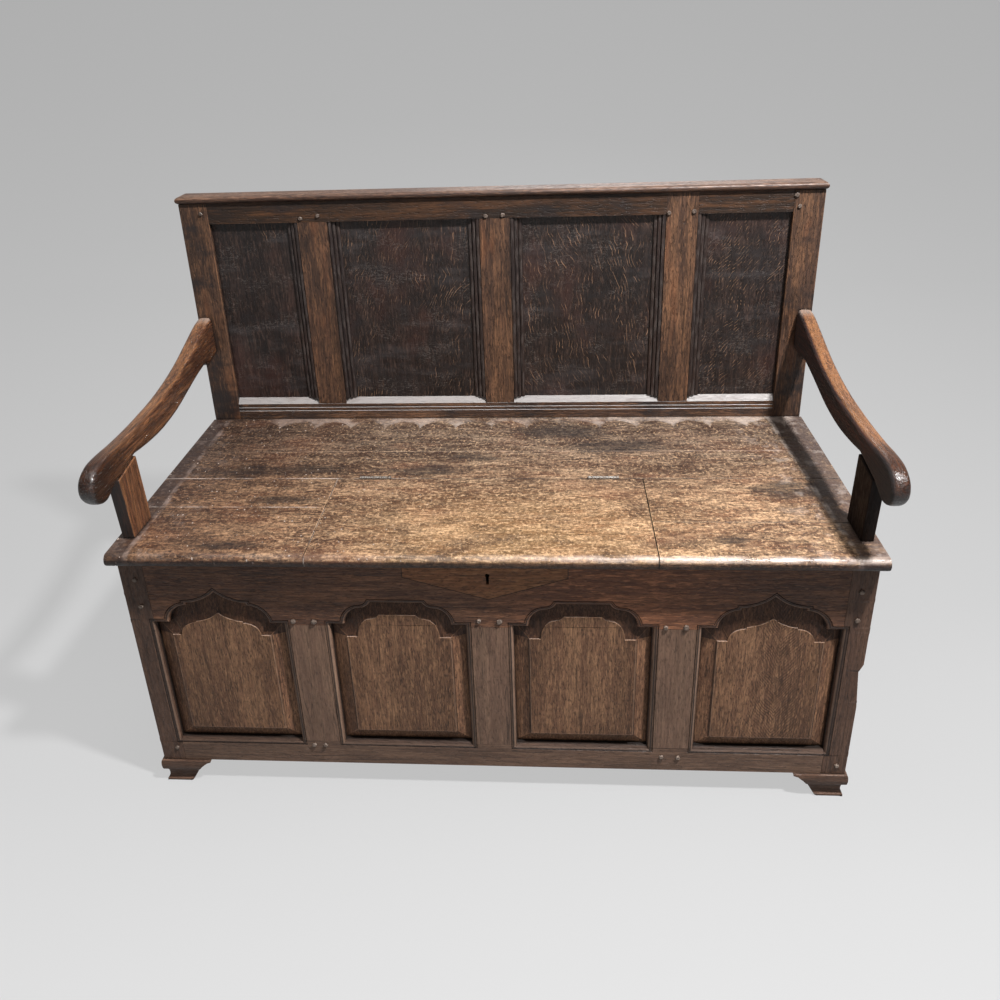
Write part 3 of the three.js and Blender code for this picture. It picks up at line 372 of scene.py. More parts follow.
# What each run of wood looks like: three tones, how much each layer of figure shows, how short
# and how narrow the figure is, and how rough and how shiny the wax is
Look = namedtuple("Look", "dark mid light bands grain streaks mottle blotch spark short narrow gloss shine")
SEAT = Look(srgb(48, 29, 21), srgb(138, 101, 75), srgb(232, 192, 150),
            0.5, 0.4, 0.62, 0.62, 0.45, 0.55, 2.6, 0.72, 0.45, 0.4)
TOP = Look(srgb(48, 31, 25), srgb(112, 78, 60), srgb(172, 124, 94),
           0.5, 0.45, 0.45, 0.25, 0.5, 0.4, 1.5, 1.1, 0.45, 0.3)
PATCH = Look(srgb(92, 60, 40), srgb(164, 112, 78), srgb(212, 156, 110),
             0.4, 0.5, 0.5, 0.25, 0.35, 0.3, 1.5, 0.9, 0.45, 0.3)
FRAME = Look(srgb(62, 47, 38), srgb(114, 88, 73), srgb(154, 122, 100),
             0.4, 0.3, 0.3, 0.2, 0.4, 0.25, 1.5, 1.1, 0.45, 0.3)
MUNTIN = Look(srgb(78, 60, 49), srgb(130, 101, 84), srgb(166, 134, 110),
              0.35, 0.3, 0.3, 0.2, 0.4, 0.2, 1.5, 1.2, 0.45, 0.3)
STILE = Look(srgb(50, 36, 29), srgb(94, 69, 56), srgb(126, 96, 78),
             0.35, 0.3, 0.3, 0.2, 0.4, 0.25, 1.5, 1.1, 0.45, 0.3)
PANEL = Look(srgb(66, 45, 34), srgb(138, 101, 77), srgb(190, 146, 110),
             0.45, 0.34, 0.55, 0.3, 0.4, 0.5, 1.8, 1.35, 0.48, 0.3)
BACK = Look(srgb(40, 29, 24), srgb(86, 62, 49), srgb(144, 104, 75),
            0.5, 0.45, 0.55, 0.35, 0.6, 0.45, 1.4, 1.1, 0.42, 0.35)
BACK_RAIL = Look(srgb(22, 17, 15), srgb(52, 37, 27), srgb(100, 66, 42),
                 0.6, 0.35, 0.35, 0.25, 0.65, 0.3, 1.2, 0.8, 0.45, 0.3)
CAP = Look(srgb(46, 32, 26), srgb(94, 68, 54), srgb(148, 114, 92),
           0.5, 0.45, 0.5, 0.3, 0.45, 0.6, 1.4, 1.0, 0.4, 0.4)
DARK = Look(srgb(12, 9, 9), srgb(37, 27, 25), srgb(80, 62, 54),
            0.35, 0.5, 0.6, 0.5, 0.5, 0.6, 1.5, 0.9, 0.38, 0.4)
ARM = Look(srgb(34, 20, 14), srgb(96, 60, 42), srgb(164, 112, 74),
           0.5, 0.5, 0.65, 0.2, 0.35, 0.5, 0.7, 1.3, 0.26, 0.65)
# Painted shade: a nearly black look for the right arm support, which stands in shade
SHADED_SUPPORT = Look(srgb(14, 10, 9), srgb(28, 19, 16), srgb(44, 30, 24),
                 0.5, 0.5, 0.5, 0.3, 0.5, 0.4, 1.0, 0.9, 0.5, 0.12)
PEG = Look(srgb(60, 48, 40), srgb(136, 116, 102), srgb(190, 172, 158),
           0.4, 0.4, 0.4, 0.4, 0.4, 0.4, 1.0, 1.0, 0.4, 0.5)
BACK_PEG = Look(srgb(46, 37, 32), srgb(100, 84, 74), srgb(150, 134, 122),
                0.4, 0.4, 0.4, 0.4, 0.4, 0.4, 1.0, 1.0, 0.4, 0.5)
HIDDEN = Look(srgb(96, 76, 60), srgb(122, 98, 78), srgb(148, 122, 98),
              0.5, 0.5, 0.5, 0.2, 0.4, 0.3, 1.0, 0.8, 0.7, 0.2)

# Layers of figure: repeats to the metre along and across the grain, the noise values between
# which the layer rises from nothing to full, and how fine the noise is
Layer = namedtuple("Layer", "along across low high detail roughness", defaults=(3.0, 0.55))
BLOTCHES = Layer(1.8, 8.0, 0.38, 0.64, 4.0)
BANDS = Layer(3.5, 60.0, 0.40, 0.62)
GRAIN = Layer(8.0, 190.0, 0.44, 0.58)
STREAKS = Layer(24.0, 310.0, 0.46, 0.58, 2.0)
SPARKS = Layer(30.0, 290.0, 0.54, 0.64)
PORES = Layer(64.0, 430.0, 0.57, 0.65, 1.0)
MOTTLE = Layer(60.0, 230.0, 0.44, 0.58, 6.0, 0.75)
MOTTLE_SHARE = 0.8
STREAK_SHARE = 0.7
SPARK_SHARE = 0.7
GLOSS_SWAY = 0.16

# Long winding cracks, the sway of the grain, and how far each piece's figure is moved from the
# last one's
CHECK_RATE = (1.2, 26.0)
CHECK_WIDTH = 0.006
CHECK_SHARE = 0.5
SWAY_RATE = (3.0, 9.0)
SWAY = 0.008
PIECE_STEP = (1.7, 2.3, 3.1)

# The mark of edges that are rubbed by use, how they are worn, and how deep the figure is
RUBBED_FACES = "rubbed"
EDGE_WEAR = Cloud((60.0, 60.0, 60.0), 0.3, 0.6)
EDGE_SHARE = 0.34
GRAIN_RISE = -0.5
GRAIN_DEPTH = 0.0004

PORE_TONE = srgb(30, 20, 15)
# Dark of dirt in joints, also used for painted shade in crevices, hollows and mouldings
GRIME_AND_SHADE_TONE = srgb(18, 13, 11)
# Pale dust, also laid as a painted highlight on faces that look up
DUST_AND_HIGHLIGHT_TONE = srgb(176, 162, 152)
RUBBED_HIGHLIGHT_TONE = srgb(168, 140, 120)
SMOKE_TONE = srgb(32, 27, 27)


def along_grain(axis, along, across):
    return tuple(along if letter == axis else across for letter in "xyz")


def oak(name, axis, look, seed, finishes):
    """Waxed oak whose grain runs along one axis, with the finishes laid over it in turn."""
    shades = Shades(name)
    place = shades.place()
    moved = shades.stretch(place, (1.0, 1.0, 1.0), tuple(seed * step for step in PIECE_STEP))
    wavy = shades.warp(moved, along_grain(axis, *SWAY_RATE), along_grain(axis, 0.0, SWAY))

    def layer(kind):
        rate = along_grain(axis, kind.along * look.short, kind.across * look.narrow)
        return shades.cloud(wavy, Cloud(rate, kind.low, kind.high, kind.detail, kind.roughness))

    grain = layer(GRAIN)
    mottle = layer(MOTTLE)
    pores = layer(PORES)
    checks = shades.ridge(shades.noise(shades.stretch(wavy, along_grain(axis, *CHECK_RATE))), CHECK_WIDTH)
    edges = shades.both(shades.attribute(RUBBED_FACES), shades.cloud(place, EDGE_WEAR))
    shades.colour = look.mid
    shades.rough = shades.math("MULTIPLY_ADD", mottle, GLOSS_SWAY, look.gloss)
    shades.lay(layer(BANDS), look.light, look.bands)
    shades.lay(layer(BLOTCHES), look.dark, look.blotch)
    shades.lay(grain, look.dark, look.grain)
    shades.lay(mottle, look.dark, look.mottle * MOTTLE_SHARE)
    shades.lay(layer(STREAKS), look.dark, look.streaks * STREAK_SHARE)
    shades.lay(layer(SPARKS), look.light, look.spark * SPARK_SHARE)
    shades.lay(pores, PORE_TONE, look.streaks)
    shades.lay(checks, PORE_TONE, CHECK_SHARE)
    shades.lay(edges, look.light, EDGE_SHARE)
    for finish in finishes:
        finish(shades, place)
    height = shades.minus(shades.share(grain, GRAIN_RISE), pores)
    shades.give("Base Color", shades.colour)
    shades.give("Roughness", shades.rough)
    shades.give("Normal", shades.bump(height, GRAIN_DEPTH))
    shades.give("Specular IOR Level", look.shine)
    return shades.material


# Painted shade with dirt where other faces stand near, dust with a painted highlight on what faces up, and
# smoke in soft patches
OPEN_SPAN = (0.8, 0.25)
CREVICE_REACH = 0.012
CREVICE_SAMPLES = 4
CREVICE_SHARE = 0.88
HOLLOW_REACH = 0.01
HOLLOW_SAMPLES = 6
HOLLOW_SHARE = 0.7
DUST_FACING = (0.4, 0.85)
DUST_PATCHES = Cloud((30.0, 30.0, 30.0), 0.25, 0.6)
DUST_SHARE = 0.3
SMOKE = (Cloud((7.0, 11.0, 16.0), 0.5, 0.66, 5.0, 0.6), SMOKE_TONE, 0.8)


def closeness(shades, reach, samples):
    node = shades.add("ShaderNodeAmbientOcclusion", {"Distance": reach}, samples=samples)
    return shades.step(node.outputs["AO"], *OPEN_SPAN)


def crevice(shades, place):
    """Painted shade, with old wax and dirt, where pieces meet and in the mouldings."""
    shades.lay(closeness(shades, CREVICE_REACH, CREVICE_SAMPLES), GRIME_AND_SHADE_TONE, CREVICE_SHARE)


def hollow(shades, place):
    """Painted shade, with dirt, that thickens from the raised field down its bevels to the moulding."""
    shades.lay(closeness(shades, HOLLOW_REACH, HOLLOW_SAMPLES), GRIME_AND_SHADE_TONE, HOLLOW_SHARE)


def dust_and_highlight(shades, place):
    """Pale dust and a painted highlight on what faces up."""
    facing = shades.facing("Z", *DUST_FACING)
    shades.lay(shades.both(facing, shades.cloud(place, DUST_PATCHES)), DUST_AND_HIGHLIGHT_TONE, DUST_SHARE)


def smoky(shades, place):
    shades.spread(place, *SMOKE)


# Depths below the front face at which the moulding gets painted shade in its quirk, a painted highlight
# with some wear on its round, and painted shade with dirt at its foot
QUIRK_SHADE_PLACE = 0.0009
QUIRK_SHADE_SPREAD = 0.0007
QUIRK_SHADE_SHARE = 0.8
ROUND_PLACE = 0.0024
ROUND_SPREAD = 0.0018
ROUND_HIGHLIGHT_SHARE = 0.26
MOULDING_FOOT_SHADE = (0.0055, 0.0085)
FOOT_SHADE_SHARE = 0.85
CORNER_MARGIN = (0.002, 0.003)
SILL_FACING = (0.2, 0.7)
SILL_SHADE_TONE = (0.42, 0.4, 0.4, 1.0)


def moulding_lines(shades, place):
    """The moulding's scratched quirk and its foot get painted shade, with dirt at the foot; its round is
    lighter with wear and a painted highlight.
    """
    x, y, _ = shades.axes(place)
    depth = shades.minus(y, FRONT)
    edge = shades.minus(BOX_HALF, shades.math("ABSOLUTE", x))
    inside = shades.step(edge, *CORNER_MARGIN)
    rubbed = shades.line(depth, ROUND_PLACE, ROUND_SPREAD)
    shades.lay(shades.both(inside, rubbed), RUBBED_HIGHLIGHT_TONE, ROUND_HIGHLIGHT_SHARE)
    # Painted shade on the moulding's faces that look up
    shades.shade(shades.both(inside, shades.facing("Z", *SILL_FACING)), SILL_SHADE_TONE)
    quirk_shade = shades.line(depth, QUIRK_SHADE_PLACE, QUIRK_SHADE_SPREAD)
    shades.lay(shades.both(inside, quirk_shade), GRIME_AND_SHADE_TONE, QUIRK_SHADE_SHARE)
    shades.lay(shades.both(inside, shades.step(depth, *MOULDING_FOOT_SHADE)), GRIME_AND_SHADE_TONE, FOOT_SHADE_SHARE)


# The ledge round each raised field: lighter on its edge with wear and a painted highlight, darker at its
# foot with dirt and painted shade; the bevels round the field get painted shade, a painted shadow under the
# head and painted light at the sides
LEDGE_EDGE = -0.0008
LEDGE_EDGE_SPREAD = 0.0013
LEDGE_EDGE_SHARE = 0.3
LEDGE_FOOT = 0.0013
LEDGE_FOOT_SPREAD = 0.0016
LEDGE_FOOT_SHARE = 0.6
FIELD_SHADE = (-0.055, 0.012)
FIELD_SHADE_TONE = (0.78, 0.75, 0.73, 1.0)
HEAD_DEPTH = (0.0012, 0.0026)
HEAD_SHADOW_TONE = (0.4, 0.36, 0.36, 1.0)
HEAD_RUBBED_SHARE = 0.25
SIDE_LIGHT_TONE = (1.4, 1.4, 1.42, 1.0)
SAME_PLACE = 0.0002


def corners(name):
    return [vertex.co for vertex in nodes[name].data.vertices]


def field_edges(name):
    """Edges of a panel's raised field, where its straight sides end, and its front face."""
    points = corners(name)
    face = min(point.y for point in points)
    field = [point for point in points if point.y < face + SAME_PLACE]
    left = min(point.x for point in field)
    right = max(point.x for point in field)
    low = min(point.z for point in field)
    top = max(point.z for point in field if point.x < left + SAME_PLACE)
    return left, right, low, top, face


def ledges(name):
    left, right, low, top, face = field_edges(name)

    def finish(shades, place):
        x, y, z = shades.axes(place)
        sides = shades.most(shades.minus(left, x), shades.minus(x, right))
        away = shades.most(sides, shades.minus(low, z))
        # Painted shade on the bevels round the field
        shades.shade(shades.step(away, *FIELD_SHADE), FIELD_SHADE_TONE)
        straight = shades.step(z, top, top - LEDGE_EDGE_SPREAD)
        foot = shades.line(away, LEDGE_FOOT, LEDGE_FOOT_SPREAD)
        # Painted shade with dirt at the ledge's foot, and a painted highlight with wear on its edge
        shades.lay(shades.both(straight, foot), GRIME_AND_SHADE_TONE, LEDGE_FOOT_SHARE)
        edge = shades.line(away, LEDGE_EDGE, LEDGE_EDGE_SPREAD)
        shades.lay(shades.both(straight, edge), RUBBED_HIGHLIGHT_TONE, LEDGE_EDGE_SHARE)
        sunk = shades.step(shades.minus(y, face), *HEAD_DEPTH)
        head = shades.both(shades.step(z, top, top + SAME_PLACE), sunk)
        rubbed = shades.share(shades.attribute(RUBBED_FACES), HEAD_RUBBED_SHARE)
        # Painted shadow on the head's bevels, less on their worn edges
        shades.shade(shades.both(head, shades.minus(1.0, rubbed)), HEAD_SHADOW_TONE)
        below = shades.both(shades.step(z, top, top - SAME_PLACE), sunk)
        # Painted light lifting the side bevels
        shades.shade(shades.both(below, shades.step(sides, 0.0, SAME_PLACE)), SIDE_LIGHT_TONE)

    return finish


# Nested arches of the flat-sawn figure
ARCH_SLOPE = 1.4
ARCH_RATE = 820.0
ARCH_LINES = (0.0, 0.9)
ARCH_ZONE = (0.055, 0.02)
ARCH_SWAY_RATE = (32.0, 32.0, 18.0)
ARCH_SWAY = (0.010, 0.0, 0.016)
ARCH_BREAKS = Cloud((60.0, 60.0, 30.0), 0.3, 0.6)
ARCH_SHARE = 0.75
ARCH_TONE = srgb(62, 42, 31)


def arches(middle):
    def finish(shades, place):
        x, _, z = shades.axes(shades.warp(place, ARCH_SWAY_RATE, ARCH_SWAY))
        away = shades.away(x, middle)
        rise = shades.math("MULTIPLY_ADD", away, -ARCH_SLOPE, z)
        rings = shades.step(shades.math("SINE", shades.share(rise, ARCH_RATE)), *ARCH_LINES)
        zone = shades.step(away, *ARCH_ZONE)
        shades.lay(shades.both(rings, zone, shades.cloud(place, ARCH_BREAKS)), ARCH_TONE, ARCH_SHARE)

    return finish


# Tones of the seat: painted shade, with browner wood, towards the back and the left, and more golden
# towards the front middle
REAR_SHADE = (FRONT + 0.12, FRONT + 0.42)
SEAT_REAR_SHADE_TONE = (0.50, 0.55, 0.66, 1.0)
LEFT_SHADE = (-0.1, -0.6)
SEAT_LEFT_SHADE_TONE = (0.5, 0.43, 0.41, 1.0)
GOLD_TONE = srgb(200, 156, 92)
GOLD_MIDDLE = 0.06
GOLD_SPREAD = (0.42, 0.05)
GOLD_DEPTH = (FRONT + 0.26, FRONT + 0.04)
GOLD_SHARE = 0.14

# Wear, redder patches and dark and pale chips of the seat: cloud, tone and share
SEAT_PATCHES = [
    (Cloud((9.0, 16.0, 16.0), 0.5, 0.64, 6.0, 0.7), SEAT.dark, 0.6),
    (Cloud((6.0, 13.0, 13.0), 0.5, 0.72, shift=(3.0, 5.0, 0.0)), srgb(136, 90, 66), 0.26),
    (Cloud((190.0, 130.0, 130.0), 0.55, 0.66, 3.0, 0.7), SEAT.dark, 0.55),
    (Cloud((190.0, 130.0, 130.0), 0.45, 0.34, 3.0, 0.7), SEAT.light, 0.35),
]


def seat_shade(shades, place):
    x, y, _ = shades.axes(place)
    gold = shades.step(shades.away(x, GOLD_MIDDLE), *GOLD_SPREAD)
    shades.lay(shades.both(gold, shades.step(y, *GOLD_DEPTH)), GOLD_TONE, GOLD_SHARE)
    # Painted shade towards the back
    shades.shade(shades.step(y, *REAR_SHADE), SEAT_REAR_SHADE_TONE)
    for patches in SEAT_PATCHES:
        shades.spread(place, *patches)


# Fine pale scratches on the seat
SCRATCH_RATE = (20.0, 150.0, 150.0)
SCRATCH_DETAIL = 2.0
SCRATCH_LINE = 0.016
SCRATCH_SWAY_RATE = (18.0, 18.0, 18.0)
SCRATCH_SWAY = (0.02, 0.012, 0.0)
SCRATCH_BREAKS = Cloud((40.0, 90.0, 90.0), 0.42, 0.58)
PALE_SCRATCH_SHARE = 0.3
PALE_SCRATCH_TONE = srgb(214, 184, 148)


def scratches(shades, place):
    wavy = shades.warp(place, SCRATCH_SWAY_RATE, SCRATCH_SWAY)
    cloud = shades.noise(shades.stretch(wavy, SCRATCH_RATE), SCRATCH_DETAIL)
    lines = shades.ridge(cloud, SCRATCH_LINE)
    broken = shades.cloud(place, SCRATCH_BREAKS)
    shades.lay(shades.both(lines, broken), PALE_SCRATCH_TONE, PALE_SCRATCH_SHARE)


# Stains of the seat: place across, place behind the front, half length and half depth
STAINS = [
    (-0.053, 0.324, 0.05, 0.016),
    (0.255, 0.375, 0.10, 0.030),
    (0.549, 0.195, 0.07, 0.030),
    (-0.398, 0.157, 0.06, 0.014),
    (-0.443, 0.005, 0.05, 0.012),
    (-0.514, 0.265, 0.07, 0.022),
    (-0.380, 0.275, 0.08, 0.020),
    (-0.129, 0.274, 0.09, 0.020),
    (0.409, 0.028, 0.03, 0.012),
    (0.132, 0.440, 0.10, 0.030),
]
STAIN_RATE = (14.0, 60.0, 60.0)
STAIN_DETAIL = 5.0
STAIN_ROUGHNESS = 0.7
STAIN_SWAY = 5.0
STAIN_SPAN = (2.0, 0.0)
STAIN_SHARE = 0.7


def seat_stains(shades, place):
    x, y, _ = shades.axes(place)
    cloud = shades.noise(shades.stretch(place, STAIN_RATE), STAIN_DETAIL, STAIN_ROUGHNESS)
    rough_edge = shades.share(shades.minus(cloud, NOISE_MIDDLE), STAIN_SWAY)
    total = None
    for across, back, half_length, half_depth in STAINS:
        u = shades.share(shades.minus(x, across), 1 / half_length)
        v = shades.share(shades.minus(y, FRONT + back), 1 / half_depth)
        away = shades.math("ADD", shades.math("MULTIPLY", u, u), shades.math("MULTIPLY", v, v))
        spot = shades.step(shades.math("ADD", away, rough_edge), *STAIN_SPAN)
        total = spot if total is None else shades.most(total, spot)
    shades.lay(total, SMOKE_TONE, STAIN_SHARE)


# Dust that lay round a cushion: the cushion's ends, and its back edge, which is a row of lobes
CLOTH_LEFT = -0.616
CLOTH_RIGHT = 0.604
CLOTH_SLANT = 0.045
CLOTH_LINE = 0.0045
CLOTH_SWAY_RATE = (12.0, 12.0, 12.0)
CLOTH_SWAY = (0.008, 0.006, 0.0)
LOBE_HALF = 0.039
LOBE_SHIFT = 0.021
LOBE_TOP = FRONT + 0.498
LOBE_HEIGHT = 0.040
LOBE_LINE = 0.007
LOBE_CLEAR = Cloud((5.0, 5.0, 5.0), 0.36, 0.5, shift=(4.3, 0.0, 0.0))
DUST_RATE = (34.0, 34.0, 34.0)
DUST_DETAIL = 5.0
DUST_ROUGHNESS = 0.65
FILM_SPAN = (0.2, 0.5)
FILM_SHARE = 0.78
FILM_TONE = srgb(72, 59, 55)
BEHIND_SPAN = (0.25, 0.6)
BEHIND_SHARE = 0.5
BEHIND_TONE = srgb(196, 180, 168)
PATCHY_SPAN = (0.36, 0.62)
END_LINE_SHARE = 0.46
RIM_SHARE = 0.35
SMEAR_REACH = (-0.12, -0.01)
SMEAR_SPAN = (0.52, 0.66)
SMEAR_SHARE = 0.2
LINE_TONE = srgb(206, 192, 182)


def lobed_edge(shades, x):
    """How far back the cushion reached: half circles side by side."""
    lobe = shades.math("PINGPONG", shades.minus(x, LOBE_SHIFT), LOBE_HALF)
    share = shades.math("DIVIDE", lobe, LOBE_HALF)
    arch = shades.math("SQRT", shades.minus(1.0, shades.both(share, share)))
    return shades.math("MULTIPLY_ADD", arch, LOBE_HEIGHT, LOBE_TOP - LOBE_HEIGHT)


def seat_dust(shades, place):
    x, y, _ = shades.axes(shades.warp(place, CLOTH_SWAY_RATE, CLOTH_SWAY))
    lean = shades.share(shades.minus(y, FRONT), CLOTH_SLANT)
    left = shades.minus(CLOTH_LEFT, x)
    right = shades.math("ADD", shades.minus(x, CLOTH_RIGHT), lean)
    ends = shades.most(left, right)
    back = shades.minus(y, lobed_edge(shades, x))
    cloud = shades.noise(shades.stretch(place, DUST_RATE), DUST_DETAIL, DUST_ROUGHNESS)
    clear = shades.cloud(place, LOBE_CLEAR)
    film = shades.both(shades.step(ends, -CLOTH_LINE, CLOTH_LINE), shades.step(cloud, *FILM_SPAN))
    shades.lay(film, FILM_TONE, FILM_SHARE)
    behind = shades.both(shades.step(back, 0.0, LOBE_LINE), shades.step(cloud, *BEHIND_SPAN), clear)
    shades.lay(behind, BEHIND_TONE, BEHIND_SHARE)
    patchy = shades.step(cloud, *PATCHY_SPAN)
    shades.lay(shades.both(shades.line(ends, 0.0, LOBE_LINE), patchy), LINE_TONE, END_LINE_SHARE)
    shades.lay(shades.both(shades.line(back, 0.0, CLOTH_LINE), patchy, clear), LINE_TONE, RIM_SHARE)
    smear = shades.both(shades.step(ends, *SMEAR_REACH), shades.step(cloud, *SMEAR_SPAN))
    shades.lay(smear, LINE_TONE, SMEAR_SHARE)
    # Painted shade towards the left, laid over the dust as well
    shades.shade(shades.step(shades.axes(place)[0], *LEFT_SHADE), SEAT_LEFT_SHADE_TONE)


# Small pale specks, most on the left
SPECK_DOTS = Cloud((210.0, 150.0, 150.0), 0.79, 0.83, 0.0)
SPECK_SPAN = (0.1, -0.45)


def specks(shades, place):
    span = shades.step(shades.axes(place)[0], *SPECK_SPAN)
    shades.lay(shades.both(shades.cloud(place, SPECK_DOTS), span), DUST_AND_HIGHLIGHT_TONE)


# The seat's joints: pale dust on the left, dirt behind the lid, at its right side and in the
# joint beyond it
JOINT_DUST = 0.0017
JOINT_DUST_SHARE = 0.45
JOINT_PATCHES = Cloud((26.0, 26.0, 26.0), 0.38, 0.62)
REAR_DUST_SPAN = (-0.1, -0.2)
RIGHT_JOINT = FRONT + 0.084
JOINT_DIRT = 0.003
LID_DIRT_SHARE = 0.75
RIGHT_DIRT_SHARE = 0.6


def joint_dust(shades, place):
    x, y, _ = shades.axes(place)
    cloud = shades.cloud(place, JOINT_PATCHES)
    before_hinges = shades.step(y, HINGE_JOINT + JOINT_DUST, HINGE_JOINT)
    rear = shades.both(shades.line(y, REAR_JOINT, JOINT_DUST), shades.step(x, *REAR_DUST_SPAN))
    hinge = shades.line(y, HINGE_JOINT, JOINT_DUST)
    boards = shades.most(hinge, shades.line(y, LEFT_JOINT, JOINT_DUST))
    left = shades.both(boards, shades.step(x, LID_LEFT + JOINT_DUST, LID_LEFT))
    side = shades.both(shades.line(x, LID_LEFT, JOINT_DUST), before_hinges)
    lines = shades.most(rear, shades.most(left, side))
    shades.lay(shades.both(lines, cloud), LINE_TONE, JOINT_DUST_SHARE)
    beyond = shades.step(x, LID_LEFT, LID_LEFT + JOINT_DIRT)
    behind = shades.both(shades.line(y, HINGE_JOINT, JOINT_DIRT), beyond, cloud)
    shades.lay(behind, GRIME_AND_SHADE_TONE, LID_DIRT_SHARE)
    right = shades.step(x, LID_RIGHT - JOINT_DIRT, LID_RIGHT)
    boards = shades.both(shades.line(y, RIGHT_JOINT, JOINT_DUST), right)
    shades.lay(boards, GRIME_AND_SHADE_TONE, RIGHT_DIRT_SHARE)
    side = shades.both(shades.line(x, LID_RIGHT, JOINT_DUST), before_hinges)
    shades.lay(side, GRIME_AND_SHADE_TONE, LID_DIRT_SHARE)


# The seat's nose: a painted highlight with wear on its crest, most on the right; the crest is also made
# shiny, and painted shade lies below it
NOSE_TOP = (SEAT_TOP - 0.010, SEAT_TOP - 0.003)
NOSE_BACK = (SEAT_FRONT + 0.016, SEAT_FRONT + 0.006)
NOSE_SPAN = (-0.15, 0.35)
NOSE_GAIN = 0.45
NOSE_LEAST = 0.08
NOSE_PATCHES = Cloud((22.0, 90.0, 90.0), 0.3, 0.6, 4.0)
NOSE_HIGHLIGHT_TONE = srgb(214, 196, 184)
NOSE_ROUGHNESS = 0.36
NOSE_UNDER = (SEAT_TOP - 0.006, SEAT_TOP - 0.011)
NOSE_UNDER_SHADE_TONE = (0.24, 0.2, 0.2, 1.0)


def nose_highlight_and_shade(shades, place):
    x, y, z = shades.axes(place)
    crest = shades.both(shades.step(z, *NOSE_TOP), shades.step(y, *NOSE_BACK))
    share = shades.math("MULTIPLY_ADD", shades.step(x, *NOSE_SPAN), NOSE_GAIN, NOSE_LEAST)
    # Painted highlight on the crest, stronger to the right
    shades.lay(shades.both(crest, share, shades.cloud(place, NOSE_PATCHES)), NOSE_HIGHLIGHT_TONE)
    # Painted shade under the crest
    shades.shade(shades.step(z, *NOSE_UNDER), NOSE_UNDER_SHADE_TONE)
    shades.polish(crest, NOSE_ROUGHNESS)


# Light strokes where the rays of the quartered panels of the back come to the surface
FLECK_TONE = srgb(142, 110, 86)
FLECK_RATE = 900.0
FLECK_LINES = (0.78, 0.99)
FLECK_BREAKS = Cloud((150.0, 150.0, 26.0), 0.48, 0.6, 1.0)
FLECK_AREA_RATE = (7.0, 7.0, 5.0)
FLECK_AREA_DETAIL = 2.0
FLECK_AREA_SPAN = (0.62, 0.76)
FLECK_AREA_FALL = 0.3
FLECK_SWAY_RATE = (8.0, 8.0, 9.0)
FLECK_SWAY = (0.08, 0.0, 0.03)
FLECK_RIPPLE_RATE = (26.0, 26.0, 42.0)
FLECK_RIPPLE = (0.014, 0.0, 0.006)
FLECK_FADES = Cloud((24.0, 24.0, 24.0), 0.3, 0.7)
FLECK_SHARE = 0.9


def ray_flecks(tilt, amount):
    """Strokes leaning by the tilt; more of the panel is covered the larger the amount is."""
    def finish(shades, place):
        swayed = shades.warp(place, FLECK_SWAY_RATE, FLECK_SWAY)
        x, _, z = shades.axes(shades.warp(swayed, FLECK_RIPPLE_RATE, FLECK_RIPPLE))
        across = shades.math("MULTIPLY_ADD", z, tilt, x)
        lines = shades.step(shades.math("SINE", shades.share(across, FLECK_RATE)), *FLECK_LINES)
        area = shades.noise(shades.stretch(place, FLECK_AREA_RATE), FLECK_AREA_DETAIL)
        covered = shades.step(area, *[edge - amount * FLECK_AREA_FALL for edge in FLECK_AREA_SPAN])
        broken = shades.both(shades.cloud(swayed, FLECK_BREAKS), shades.cloud(place, FLECK_FADES))
        shades.lay(shades.both(lines, covered, broken), FLECK_TONE, FLECK_SHARE)

    return finish


# The quartered panels: red where the polish is thin, finely crazed where it is thick, with patches of
# painted grey sheen
BARE = (Cloud((9.0, 9.0, 5.0), 0.48, 0.7, 4.0, shift=(1.0, 0.0, 2.0)), srgb(84, 48, 38), 0.24)
SHEEN_HAZE = (Cloud((6.0, 6.0, 24.0), 0.5, 0.7, 5.0, 0.65), srgb(104, 100, 102), 0.12)
CRAZE_RATE = (60.0, 60.0, 210.0)
CRAZE_LINE = 0.022
CRAZE_AREA = Cloud((11.0, 11.0, 20.0), 0.48, 0.62)
CRAZE_SHARE = 0.2
CRAZE_TONE = srgb(150, 140, 134)


def crazed(shades, place):
    shades.spread(place, *BARE)
    # Painted grey sheen in streaky patches
    shades.spread(place, *SHEEN_HAZE)
    lines = shades.ridge(shades.noise(shades.stretch(place, CRAZE_RATE)), CRAZE_LINE)
    shades.lay(shades.both(lines, shades.cloud(place, CRAZE_AREA)), CRAZE_TONE, CRAZE_SHARE)


# Back muntins and posts: orange where rubbed, in long patches
ORANGE = (Cloud((26.0, 26.0, 5.0), 0.52, 0.7, 4.0), srgb(146, 92, 60), 0.24)
SOOT = (Cloud((26.0, 26.0, 5.0), 0.46, 0.32, 4.0), SMOKE_TONE, 0.4)


def orange_patches(shades, place):
    shades.spread(place, *ORANGE)
    shades.spread(place, *SOOT)


# The reeded edges of a back muntin: nearly black, with painted grey glints on their crests here and there
REED_EDGE = 0.001
REED_SHARE = 0.88
REED_TONE = srgb(34, 28, 28)
CREST_FACING = (-0.8, -0.98)
CREST_BREAKS = Cloud((160.0, 160.0, 36.0), 0.45, 0.62)
CREST_GLINT_SHARE = 0.3
CREST_GLINT_TONE = srgb(96, 88, 84)


def face_span(name):
    """The left and the right edge of a piece's front face."""
    points = corners(name)
    front = min(point.y for point in points)
    across = [point.x for point in points if point.y < front + SAME_PLACE]
    return min(across), max(across)


